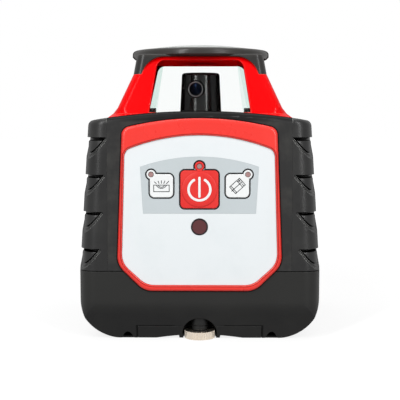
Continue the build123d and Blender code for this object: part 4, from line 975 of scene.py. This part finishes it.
@dataclass
class Shells(SubAssembly):
    """Base, body, hatch and grips: the black outer case and its seals.

    Attributes:
        thread_r: Outer and inner radius of the tripod thread.
        pitch: Rise of the thread in one turn, eleven to the inch.
        flank_deg: Slope of the thread's flanks, for an angle of 55 degrees between them.
        crest: Half width of the thread's crest, in turns.
        run_out: Clear height at both ends of the thread, in turns.
        foot_y: Y of the base's front at the floor.
        lean: How far that front comes forward for each step up.
        hatch_side: Reach of the dark film beside the hatch's gap, from the middle: painted shade of that
            gap.
        hatch_top: Heights of that film above the hatch.
        shade_end: Where that film ends, beside the thumb screw.
        shade_foot: Height at which it starts.
        shade_skin: Place of the film's front, ahead of the base's, and its thickness.
        bore: Place of the case screws' counterbores, right and rear of the middle.
        plug_r: Radius of the plugs in them.
        plug_rings: Height of each ring of a plug, and Y of the base's front there.
    """

    thread_r: Pair = (7.94 * MM, 7.05 * MM)
    pitch: float = 25.4 / 11 * MM
    flank_deg: float = 27.5
    crest: float = 1 / 8
    run_out: float = 0.7
    foot_y: float = -66.5 * MM
    lean: float = 8.5 / 23.4
    hatch_side: Pair = (42.8 * MM, 43.8 * MM)
    hatch_top: Pair = (9.35 * MM, 9.8 * MM)
    shade_end: float = 17.0 * MM
    shade_foot: float = 1.2 * MM
    shade_skin: Pair = (-0.03 * MM, 0.05 * MM)
    bore: Pair = (49.5 * MM, 62.8 * MM)
    plug_r: float = 5.45 * MM
    plug_rings: tuple[Pair, ...] = (
        (0.2 * MM, -65.8 * MM),
        (1.0 * MM, -66.6 * MM),
        (1.7 * MM, -67.0 * MM),
    )

    def dress(self) -> None:
        """Gives the case its plastics and rubbers."""
        self.shop.dress({
            Finish.BLACK_ABS: ("base_housing", "battery_door"),
            Finish.BODY_ABS: ("main_housing",),
            Finish.GRIP_TPE: ("left_grip", "right_grip"),
            Finish.RUBBER_AND_GAP_SHADE: ("base_seal", "door_gasket", "door_screw_washer"),
            Finish.BEZEL_RED: ("rear_panel",),
            Finish.STEEL: ("base_screws", "door_hinge_pins"),
            Finish.NICKEL: ("door_screw",),
            Finish.BRASS: ("tripod_insert", "door_nut"),
        })

    def build(self) -> None:
        """Makes the painted shade along the hatch's gap, the screw plugs and the tripod thread."""
        # Painted shade: a dark film along the hatch's gap; the plugs' dark faces also stand in for shade
        for mesh in (self._gap_shade(), self._plugs()):
            self.shop.keep(mesh, "body", "black_rubber", Finish.RUBBER_AND_GAP_SHADE)
        low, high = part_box("tripod_insert")
        margin = self.run_out * self.pitch
        thread = self._thread(low[2] + margin, high[2] - margin)
        thread.transform(Matrix.Translation(((low[0] + high[0]) / 2, (low[1] + high[1]) / 2, 0)))
        self.shop.keep(thread, "body", "brass", Finish.BRASS)

    def _gap_shade(self) -> Mesh:
        """Lays a thin dark film round the hatch's opening, on the base's leaning front: painted shade of
        its gap.

        Returns:
            The mesh.
        """
        run = math.hypot(1, self.lean)
        (near, far), (low, high), foot = self.hatch_side, self.hatch_top, self.shade_foot
        inner = [(self.shade_end, high), (self.shade_end, low)]
        corners = [(far, foot), (far, high), *inner, (near, low), (near, foot)]
        loops = [[(side * x, z * run) for x, z in corners] for side in (-1, 1)]
        mesh = film("hatch_gap_shade", loops, *self.shade_skin)
        lay = Matrix.Translation((0, self.foot_y, 0)) @ Matrix.Rotation(math.atan(self.lean), 4, "X")
        mesh.transform(lay)
        return mesh

    def _plugs(self, steps: int = 48) -> Mesh:
        """Closes the case screws' counterbores with dark plugs, which end at the base's own outline and
        stand in for the shade inside.

        Args:
            steps: Facets round one plug.

        Returns:
            The mesh of all four.
        """
        rim = circle(self.bore, self.plug_r, steps)
        plugs = []
        for side, end in ((-1, -1), (-1, 1), (1, -1), (1, 1)):
            rings = [[(side * x, end * min(y, -front), z) for x, y in rim] for z, front in self.plug_rings]
            plugs.append(rings)
        mesh = skinned("case_screw_plugs", plugs)
        face_outward(mesh)
        return mesh

    def _thread(self, low: float, high: float, steps: int = 48) -> Mesh:
        """Winds the thread's ridge up the bore.

        Args:
            low: Height at which it starts.
            high: Height at which it ends.
            steps: Facets in one turn.

        Returns:
            The mesh.
        """
        outer, inner = self.thread_r
        flank = (outer - inner) * math.tan(math.radians(self.flank_deg))
        crest = self.crest * self.pitch
        ridge = [(outer, -flank - crest), (inner, -crest), (inner, crest), (outer, flank + crest)]
        rings = []
        for i in range(round((high - low) / self.pitch * steps) + 1):
            turn = 2 * math.pi * i / steps
            rise = low + self.pitch * i / steps
            rings.append([(r * math.cos(turn), r * math.sin(turn), rise + h) for r, h in ridge])
        return skinned("tripod_thread", [rings])


@dataclass
class GripTongues(SubAssembly):
    """Tongues of the grips that show in their notches, each with a dark gap above and a groove below.

    Attributes:
        half_low: Half the body's width at the seam, and the seam's height.
        half_high: The same at the shoulder.
        half_depth: Half the body's depth.
        corner_r: Radius of the body's upright corners.
        straight: Length of the walls drawn on both sides of a corner.
        top_z: Height of the highest notch's roof.
        pitch: Distance from one notch to the next.
        count: Number of notches on a corner.
        cut: How far a notch's roof reaches in along the front and along the side.
        slope: Fall of the notch's ramp for each step outward.
        skin: Depth of a tongue's face under the grip's own.
        gap: Clear height above a tongue.
        groove: Clear width between a tongue and the ramp.
        root: How far a tongue's foot is sunk in the ramp.
        round_r: Radius of the edge along a tongue's top.
        tip: Height at a tongue's lowest point that is left off, where it would be a needle.
        tuck: How far its foot is narrower at each end, and at most as a share of its width.
        sharp_deg: Angle from which an edge looks sharp.
        rounds: Times that a tongue's lowest height is worked out anew.
    """

    half_low: Pair = (82.5 * MM, 47.5 * MM)
    half_high: Pair = (75.8 * MM, 149.5 * MM)
    half_depth: float = 75.0 * MM
    corner_r: float = 12.0 * MM
    straight: float = 24.0 * MM
    top_z: float = 138.6 * MM
    pitch: float = 25.2 * MM
    count: int = 4
    cut: Pair = (14.5 * MM, 26.0 * MM)
    slope: float = 1.45
    skin: float = 1.0 * MM
    gap: float = 1.9 * MM
    groove: float = 0.9 * MM
    root: float = 0.4 * MM
    round_r: float = 1.2 * MM
    tip: float = 0.4 * MM
    tuck: Pair = (1.2 * MM, 0.25)
    sharp_deg: float = 30.0
    rounds: int = 6

    def build(self) -> None:
        """Makes the tongues of each corner as one piece."""
        tops = [self.top_z - i * self.pitch for i in range(self.count)]
        for grip, side in (("left", -1), ("right", 1)):
            for end, y_side in (("front", -1), ("rear", 1)):
                tongues = [self._tongue(side, y_side, top_z) for top_z in tops]
                mesh = skinned(f"{grip}_grip_tongues_{end}", tongues)
                face_outward(mesh)
                mesh.shade_smooth()
                mesh.set_sharp_from_angle(angle=math.radians(self.sharp_deg))
                self.shop.keep(mesh, "body", "black_grip", Finish.GRIP_TPE)

    def _tongue(self, side: int, y_side: int, top_z: float, steps: int = 12) -> list[list[Place]]:
        """Draws one tongue, as rings of its section from the gap down to its tip.

        Args:
            side: Minus one on the left grip, one on the right.
            y_side: Minus one at the front corner, one at the rear.
            top_z: Height of its notch's roof.
            steps: Number of rings under its rounded top.

        Returns:
            The rings.
        """
        high = top_z - self.gap
        low = high
        # The face leans, so the height at which it meets the groove is closed in on
        for _ in range(self.rounds):
            low = top_z - self.slope * (self._reach(top_z, low) - self.groove)
        shoulder = arc((self.skin + self.round_r, high - self.round_r), self.round_r, 90, 180, steps=6)
        start = shoulder[-1][1]
        fall = (start - low - self.tip) / steps
        levels = [*shoulder, *[(self.skin, start - fall * (i + 1)) for i in range(steps)]]
        sections = [(z, self._section(top_z, z, inset)) for inset, z in levels]
        return [[(side * x, y_side * y, z) for x, y in section] for z, section in sections]

    def _half(self, z: float) -> float:
        """Gives half the body's width at a height."""
        share = (z - self.half_low[1]) / (self.half_high[1] - self.half_low[1])
        return self.half_low[0] + (self.half_high[0] - self.half_low[0]) * share

    def _outline(self, z: float, inset: float, steps: int = 24) -> list[Vector]:
        """Gives the body's rounded corner at a height, in the quarter where X and Y are positive.

        Args:
            z: The height.
            inset: Depth under the grip's own face.
            steps: Number of chords along each straight wall.

        Returns:
            The points from the side wall to the front wall.
        """
        half = self._half(z)
        middle = (half - self.corner_r, self.half_depth - self.corner_r)
        bend = arc(middle, self.corner_r - inset, 0, 90, steps=48)
        chord = self.straight / steps
        side = [(half - inset, middle[1] - chord * (steps - i)) for i in range(steps)]
        front = [(middle[0] - chord * (i + 1), self.half_depth - inset) for i in range(steps)]
        return [Vector(point) for point in (*side, *bend, *front)]

    def _frame(self, top_z: float) -> tuple[Vector, Vector]:
        """Gives where a notch starts on the front face, and its direction outward."""
        start = Vector((self._half(top_z) - self.cut[0], self.half_depth))
        return start, Vector((self.cut[1], self.cut[0])).normalized()

    def _reach(self, top_z: float, z: float) -> float:
        """Gives how far outward a tongue's face stands at a height."""
        start, outward = self._frame(top_z)
        return max((point - start).dot(outward) for point in self._outline(z, self.skin))

    def _section(self, top_z: float, z: float, inset: float, count: int = 24) -> list[Pair]:
        """Gives a tongue's outline at a height.

        Args:
            top_z: Height of its notch's roof.
            z: The height.
            inset: Depth of its face under the grip's own.
            count: Number of chords along its face.

        Returns:
            The face's points, and then the two points of the foot.
        """
        start, outward = self._frame(top_z)
        ramp_out = (top_z - z) / self.slope
        outline = self._outline(z, inset)
        away = [(point - start).dot(outward) - ramp_out - self.groove for point in outline]
        kept: list[Vector] = []
        for i, point in enumerate(outline):
            if i and (away[i] > 0) != (away[i - 1] > 0):
                kept.append(outline[i - 1].lerp(point, away[i - 1] / (away[i - 1] - away[i])))
            if away[i] > 0:
                kept.append(point)
        runs = [(b - a).length for a, b in zip(kept, kept[1:])]
        face: list[Vector] = []
        for i in range(count + 1):
            left = sum(runs) * i / count
            j = 0
            while j < len(runs) - 1 and left > runs[j]:
                left -= runs[j]
                j += 1
            face.append(kept[j].lerp(kept[j + 1], min(left / runs[j], 1.0)))
        chord = face[-1] - face[0]
        tuck = chord * min(self.tuck[0] / chord.length, self.tuck[1])
        sink = outward * (self.groove + self.root)
        foot = [face[-1] - tuck - sink, face[0] + tuck - sink]
        return [(point.x, point.y) for point in (*face, *foot)]


@dataclass(frozen=True)
class KeyShape:
    """A square key with a round lamp ear.

    Attributes:
        node: The key's node and body.
        centre: Middle of the square, in X and Z.
        size: Side of the square.
        ear: Middle of the ear, in X and Z.
        ear_r: Radius of the ear.
        corner_r: Radius of the square's corners.
    """

    node: str
    centre: Pair
    size: float
    ear: Pair
    ear_r: float
    corner_r: float = 3.0 * MM

    def outline(self, grow: float, steps: int = 288) -> list[Pair]:
        """Outlines the key, grown all round, with the ear's neck filled out.

        Args:
            grow: How far outside the key the outline runs.
            steps: Number of points.

        Returns:
            The closed outline.
        """
        half = self.size / 2 + grow
        corner = self.corner_r + grow
        ear = Vector(self.ear) - Vector(self.centre)
        loop: list[Pair] = []
        for place in circle((0, 0), 1, steps):
            ray = Vector(place)
            reach = max(self._square(ray, half, corner), self._ear(ray, ear, self.ear_r + grow))
            loop.append((self.centre[0] + ray.x * reach, self.centre[1] + ray.y * reach))
        return loop

    @staticmethod
    def _square(ray: Vector, half: float, corner: float) -> float:
        """Measures along a ray to the rounded square.

        Args:
            ray: Direction from the middle.
            half: Half the square's side.
            corner: Radius of its corners.

        Returns:
            The distance.
        """
        across, up = abs(ray.x), abs(ray.y)
        flat = half / max(across, up)
        inner = half - corner
        if min(across, up) * flat <= inner:
            return flat
        along = inner * (across + up)
        return along + math.sqrt(max(along**2 - 2 * inner**2 + corner**2, 0.0))

    @staticmethod
    def _ear(ray: Vector, middle: Vector, radius: float) -> float:
        """Measures along a ray to the far side of the ear.

        Args:
            ray: Direction from the square's middle.
            middle: The ear's middle, from there.
            radius: The ear's radius.

        Returns:
            The distance, or zero where the ray misses the ear.
        """
        along = ray.dot(middle)
        rest = radius**2 - (middle.length_squared - along**2)
        return along + math.sqrt(rest) if along > 0 and rest > 0 else 0.0


@dataclass
class KeyPanel(SubAssembly):
    """Red bezel, white panel with its printing, keys, lamps and receiver.

    Attributes:
        ink: Height of a coat of ink over what it is printed on.
        coat: Thickness of the coat, of which some is sunk.
        gap: Clear gap round a key.
        border: Outer reach of the dark rim round a key.
        field_top: Half width and height of the grey field's upper corners.
        field_low: The same of its lower corners.
        field_apex: Height of its arched top.
        receiver_z: Height of the receiver's middle.
        receiver_ring: Inner and outer radius of its rim.
        icon_pen: Width of the lines on the small keys.
        groove: Reach of the painted shade in the bezel's groove, outward from the panel.
        gap_shade: Reach of the dark film round the bezel, outward from it: painted shade of the gap there.
        dome_r: Radius of the power key's dome.
        dome_h: Height of that dome.
        shoulder: Half width and height of the rounded shoulder at its foot.
        sign_ring: Radius and width of the power sign's ring.
        sign_gap_deg: Half the angle of the ring's opening.
        sign_bar: Upper and lower end of the sign's bar, from the key's middle.
        bar_pen: Width of the bar.
        tip_deg: How far the level on the right key is tipped.
        power: The power key.
        left: The key with a vial.
        right: The key with a tilted level.
    """

    ink: float = 0.015 * MM
    coat: float = 0.0225 * MM
    gap: float = 0.3 * MM
    border: float = 1.0 * MM
    field_top: Pair = (39.9 * MM, 119.0 * MM)
    field_low: Pair = (38.0 * MM, 87.4 * MM)
    field_apex: float = 125.8 * MM
    receiver_z: float = 78.4 * MM
    receiver_ring: Pair = (4.75 * MM, 5.45 * MM)
    icon_pen: float = 0.5 * MM
    groove: Pair = (0.75 * MM, 1.3 * MM)
    gap_shade: Pair = (0.02 * MM, 0.7 * MM)
    dome_r: float = 10.8 * MM
    dome_h: float = 0.7 * MM
    shoulder: Pair = (1.2 * MM, 0.62 * MM)
    sign_ring: Pair = (7.3 * MM, 1.7 * MM)
    sign_gap_deg: float = 30.0
    sign_bar: Pair = (7.8 * MM, -4.8 * MM)
    bar_pen: float = 1.6 * MM
    tip_deg: float = 42.0
    power: KeyShape = KeyShape(
        "power_key", (0.0, 103.8 * MM), 25.5 * MM, (0.0, 119.3 * MM), 3.2 * MM
    )
    left: KeyShape = KeyShape(
        "left_key", (-25.5 * MM, 106.2 * MM), 15.6 * MM, (-32.5 * MM, 113.8 * MM), 3.0 * MM
    )
    right: KeyShape = KeyShape(
        "right_key", (25.5 * MM, 106.2 * MM), 15.6 * MM, (32.5 * MM, 113.8 * MM), 3.0 * MM
    )

    def dress(self) -> None:
        """Gives the panel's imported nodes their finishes."""
        self.shop.dress({
            Finish.BEZEL_RED: ("front_bezel",),
            Finish.PANEL_WHITE: ("keypad_panel",),
            Finish.KEY_RED: ("power_key",),
            Finish.KEY_WHITE: ("left_key", "right_key"),
            Finish.LAMP_RED: ("indicator_lenses",),
            Finish.RECEIVER_RED: ("receiver_window",),
            Finish.BOARD_GREEN: ("keypad_board",),
            Finish.TRAY_BLACK: ("key_switches",),
        })

    def build(self) -> None:
        """Paints shade in the bezel's groove and round the bezel, and prints the panel and the keys."""
        nodes = self.shop.nodes
        wall_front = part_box("main_housing")[0][1]
        # Painted shade: a deeper red film in the bezel's fine groove round the panel
        groove = [grown(front_edge(nodes["keypad_panel"], 0), reach) for reach in self.groove]
        self._print("bezel_groove", groove, "front_bezel", "body", Finish.GROOVE_RED, "red_bezel")
        # Painted shade: a dark film over the gap round the bezel, on the housing
        gap_shade = [grown(front_edge(nodes["front_bezel"], wall_front), reach) for reach in self.gap_shade]
        self._print("bezel_gap_shade", gap_shade, "main_housing", "body", Finish.RUBBER_AND_GAP_SHADE, "black_rubber")
        keys = (self.power, self.left, self.right)
        rims = [key.outline(self.border) for key in keys]
        self._print("key_field", [self._field(), *rims], "keypad_panel", "body", Finish.INK_GREY)
        for key, rim in zip(keys, rims):
            loops = [rim, key.outline(self.gap)]
            self._print(f"{key.node}_rim", loops, "keypad_panel", "body", Finish.INK_DARK)
        ring = [circle((0, self.receiver_z), radius, steps=90) for radius in self.receiver_ring]
        self._print("receiver_rim", ring, "receiver_window", "body", Finish.INK_DARK)
        self._print("power_sign", self._power_sign(), "power_key", "power_key", Finish.INK_WHITE)
        self.shop.keep(self._shoulder(), "power_key", "red_key", Finish.KEY_RED)
        for key, lines in ((self.left, self._vial_lines()), (self.right, self._tilt_lines())):
            for i, line in enumerate(lines):
                place = [(key.centre[0] + x * MM, key.centre[1] + z * MM) for x, z in line]
                outline = [stroke(place, self.icon_pen)]
                self._print(f"{key.node}_line_{i}", outline, key.node, key.node, Finish.INK_DARK)

    def _print(
        self,
        name: str,
        loops: list[list[Pair]],
        under: str,
        body: str,
        finish: Finish,
        slot: str = "white_panel",
    ) -> None:
        """Lays one coat of ink, or one film of painted shade, on a node's front.

        Args:
            name: The print's name.
            loops: Its outlines in X and Z.
            under: The node that it lies on.
            body: The body it moves with.
            finish: The ink, or the finish of the painted shade.
            slot: The record's material slot that it belongs to.
        """
        mesh = film(name, loops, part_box(under)[0][1] - self.ink, self.coat)
        self.shop.keep(mesh, body, slot, finish)

    def _field(self) -> list[Pair]:
        """Outlines the grey key field: leaning sides and an arched top.

        Returns:
            The closed outline.
        """
        half, corner = self.field_top
        rise = self.field_apex - corner
        radius = (half**2 + rise**2) / (2 * rise)
        sweep = math.degrees(math.asin(half / radius))
        top = arc((0, self.field_apex - radius), radius, 90 - sweep, 90 + sweep, steps=40)
        low, floor = self.field_low
        return [*top, (-low, floor), (low, floor)]

    def _power_sign(self) -> list[list[Pair]]:
        """Outlines an open ring and a bar, as on any switch.

        Returns:
            The two closed outlines.
        """
        x, z = self.power.centre
        radius, pen = self.sign_ring
        ring = arc((x, z), radius, 90 + self.sign_gap_deg, 450 - self.sign_gap_deg, steps=60)
        bar = [(x, z + end) for end in (self.sign_bar[0], 0.0, self.sign_bar[1])]
        return [stroke(ring, pen), stroke(bar, self.bar_pen)]

    def _shoulder(self) -> Mesh:
        """Rounds the foot of the power key's dome.

        Returns:
            The mesh of a ring, half sunk in the key.
        """
        width, rise = self.shoulder
        bead = [(self.dome_r + width * x, rise * z) for x, z in circle((0, 0), 1, steps=24)]
        x, z = self.power.centre
        foot = Matrix.Translation((x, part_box("power_key")[0][1] + self.dome_h, z))
        return lathe("power_key_shoulder", bead, foot @ Matrix.Rotation(math.pi / 2, 4, "X"))

    @staticmethod
    def _vial_lines() -> list[list[Pair]]:
        """Draws a vial in its block with rays above.

        Returns:
            The lines, in millimetres from the key's middle.
        """
        box = [(-5.2, 0.5), (5.2, 0.5), (5.2, -3.9), (-5.2, -3.9), (-5.2, 0.5)]
        sides = [list(pair) for pair in zip(box, box[1:])]
        bubble = arc((0, 2.0), 3.7, 204, 336, steps=18)
        inner = arc((0, 1.4), 2.3, 204, 336, steps=14)
        rays = [
            [(-4.8, 2.7), (-3.4, 1.5)],
            [(-2.2, 3.2), (-1.6, 1.6)],
            [(0.0, 3.5), (0.0, 1.7)],
            [(2.3, 3.3), (1.6, 1.6)],
            [(4.9, 3.1), (3.4, 1.5)],
        ]
        return [*sides, bubble, inner, *rays]

    def _tilt_lines(self) -> list[list[Pair]]:
        """Draws a level tipped on its corner.

        Returns:
            The lines, in millimetres from the key's middle.
        """
        turn = Matrix.Rotation(math.radians(self.tip_deg), 2)
        box = [(-4.4, 3.0), (4.4, 3.0), (4.4, -3.0), (-4.4, -3.0), (-4.4, 3.0)]
        lines = [list(pair) for pair in zip(box, box[1:])]
        lines += [[(-3.3, 3.0), (-3.3, -3.0)], [(2.0, 3.0), (2.0, -3.0)], [(-5.2, 0.0), (4.4, 0.0)]]
        lines += [[(3.2, 3.0), (3.2, 0.9)], [(2.0, 1.9), (4.4, 1.9)], [(3.2, -0.9), (3.2, -3.0)]]
        return [[tuple(turn @ Vector(point)) for point in line] for line in lines]


@dataclass
class Lantern(SubAssembly):
    """Red lantern with its panes, their seats, and the black cap with its plate.

    Attributes:
        sill: Half the window's width and its height at the sill.
        lintel: The same at the top.
        depth: Distance of the panes' inner faces from the axis, at the sill and at the top.
        strip: Width of the ground strip along a pane's edge, at the sill and at the top.
        strip_t: Thickness of that strip.
        rear_extra: How much wider the rear window is to each side, at the sill and at the top.
    """

    sill: Pair = (36.2 * MM, 155.4 * MM)
    lintel: Pair = (31.2 * MM, 191.9 * MM)
    depth: Pair = (51.2 * MM, 35.1 * MM)
    strip: Pair = (6.4 * MM, 5.4 * MM)
    strip_t: float = 0.4 * MM
    rear_extra: Pair = (7.5 * MM, 3.6 * MM)

    def dress(self) -> None:
        """Gives the lantern its plastics and glass."""
        self.shop.dress({
            Finish.LANTERN_RED: ("lantern_frame",),
            Finish.PANE_GLASS: ("lantern_windows",),
            Finish.CAP_BLACK: ("top_cap",),
            Finish.TRAY_BLACK: ("window_seats",),
            Finish.CAP_GREY: ("cap_plate",),
        })

    def build(self) -> None:
        """Lays the ground strips along the upright edges of each pane, inside the lantern."""
        for quarter, wall in enumerate(("front", "right", "rear", "left")):
            extra = self.rear_extra if wall == "rear" else (0.0, 0.0)
            for side, edge in ((-1, "a"), (1, "b")):
                mesh = self._strip(f"pane_edge_{wall}_{edge}", side, extra)
                mesh.transform(Matrix.Rotation(quarter * math.pi / 2, 4, "Z"))
                self.shop.keep(mesh, "body", "clear_glass", Finish.GROUND_GLASS)

    def _strip(self, name: str, side: int, extra: Pair) -> Mesh:
        """Makes one strip as if on the front pane.

        Args:
            name: The mesh's name.
            side: Minus one for the left edge, one for the right.
            extra: How much wider the window is there, at the sill and at the top.

        Returns:
            The mesh.
        """
        rings = []
        for (half, z), depth, width, more in zip((self.sill, self.lintel), self.depth, self.strip, extra):
            outer, inner = side * (half + more), side * (half + more - width)
            face = [(outer, -depth, z), (inner, -depth, z)]
            rings.append([*face, *[(x, y + self.strip_t, z) for x, y, z in reversed(face)]])
        mesh = skinned(name, [rings])
        face_outward(mesh)
        return mesh


@dataclass
class SpinningHead(SubAssembly):
    """Black head that throws the beam, with its prism, hub and belt drive.

    Attributes:
        lip_r: Radius of the bare lip round the beam's opening.
        lip_t: Radius of the lip's round section.
        groove: Inner and outer radius of the black film round the lip: painted shade of the groove there.
        retainer: The same of the black ring that holds the lens.
        paint: Half the thickness of the groove's and the ring's paint.
        dome_rise: How far the lens bulges.
        pinhole_deg: Angle at which the lens's outline stops short of its middle.
    """

    lip_r: float = 5.2 * MM
    lip_t: float = 0.3 * MM
    groove: Pair = (5.6 * MM, 6.47 * MM)
    retainer: Pair = (4.25 * MM, 4.97 * MM)
    paint: float = 0.04 * MM
    dome_rise: float = 0.4 * MM
    pinhole_deg: float = 0.01

    def dress(self) -> None:
        """Gives the head its metals, glass and belt."""
        self.shop.dress({
            Finish.HEAD_BLACK: ("rotor_head", "aperture_ring"),
            Finish.OPTIC_GLASS: ("pentaprism", "aperture_lens", "collimator_lens"),
            Finish.ALLOY: ("rotor_hub", "drive_motor"),
            Finish.STEEL: ("spindle_bearings",),
            Finish.BRASS: ("motor_pulley",),
            Finish.RUBBER_AND_GAP_SHADE: ("drive_belt",),
        })

    def build(self) -> None:
        """Turns the lip, the black rings and the domed lens of the beam's opening; the outer ring paints
        the groove's shade.
        """
        lens = self._front("aperture_lens")
        ring = self._front("aperture_ring")
        section = circle((self.lip_r, 0), self.lip_t, steps=12)
        self.shop.keep(lathe("aperture_lip", section, ring), "rotor", "black_alloy", Finish.RIM_GREY)
        # The outer black film is painted shade of the groove round the lip; the inner ring holds the lens
        for name, (inner, outer), place in (
            ("aperture_groove", self.groove, ring),
            ("lens_retainer", self.retainer, lens),
        ):
            flat = [(inner, -self.paint), (outer, -self.paint), (outer, self.paint), (inner, self.paint)]
            self.shop.keep(lathe(name, flat, place), "rotor", "black_alloy", Finish.OPTIC_BLACK)
        dome = lathe("lens_dome", self._dome(), lens)
        self.shop.keep(dome, "rotor", "clear_glass", Finish.OPTIC_GLASS)

    def _front(self, node: str) -> Matrix:
        """Finds the outer face of a round node in the head.

        Args:
            node: The node's name.

        Returns:
            The face's place, with Z pointing out of the head.
        """
        corners = world_corners(self.shop.nodes[node])
        middle = sum(corners, Vector()) / len(corners)
        outward = Vector((middle.x, middle.y, 0)).normalized()
        front = max(corner.dot(outward) for corner in corners)
        place = Matrix.Translation(outward * front + Vector((0, 0, middle.z)))
        return place @ outward.to_track_quat("Z", "Y").to_matrix().to_4x4()

    def _dome(self, steps: int = 10) -> list[Pair]:
        """Outlines the lens's bulge, with a pinhole at its middle.

        Args:
            steps: Number of chords from its edge to its middle.

        Returns:
            The outline as radius and height.
        """
        reach = self.retainer[0] + self.paint
        ball = (reach**2 + self.dome_rise**2) / (2 * self.dome_rise)
        sweep = math.degrees(math.asin(reach / ball))
        top = arc((0.0, self.dome_rise - ball), ball, 90 - sweep, 90 - self.pinhole_deg, steps)
        return [*top, (top[-1][0], -self.paint), (reach, -self.paint)]


@dataclass
class InnerWorks(SubAssembly):
    """Gimbal, laser, levelling drives, boards and batteries behind the shells."""

    def dress(self) -> None:
        """Gives the works their metals and plastics."""
        pins = ("chassis_screws", "gimbal_outer_pins", "gimbal_inner_pins", "guide_rods")
        drives = ("roll_lead_screw", "pitch_lead_screw", "roll_motor", "pitch_motor")
        self.shop.dress({
            Finish.ALLOY: ("chassis_plate", "gimbal_ring", "tilt_platform", "laser_tube", "level_arm"),
            Finish.STEEL: (*pins, *drives),
            Finish.BRASS: ("laser_module", "roll_nut", "pitch_nut"),
            Finish.HEAD_BLACK: ("sensor_bracket",),
            Finish.VIAL_GLASS: ("level_vials",),
            Finish.BOARD_GREEN: ("control_board",),
            Finish.TRAY_BLACK: ("battery_tray",),
            Finish.CELL_SLEEVE: ("battery_cells",),
            Finish.NICKEL: ("battery_contacts",),
        })


def main() -> None:
    """Loads the frame, sets up the studio, and dresses and builds each sub-assembly."""
    logging.basicConfig(level=logging.INFO, format="%(message)s")
    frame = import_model()
    shop = Workshop(frame["nodes"])
    Studio().build()
    for sub_assembly in (Shells, GripTongues, KeyPanel, Lantern, SpinningHead, InnerWorks):
        part = sub_assembly(shop)
        part.dress()
        part.build()


if __name__ == "__main__":
    main()
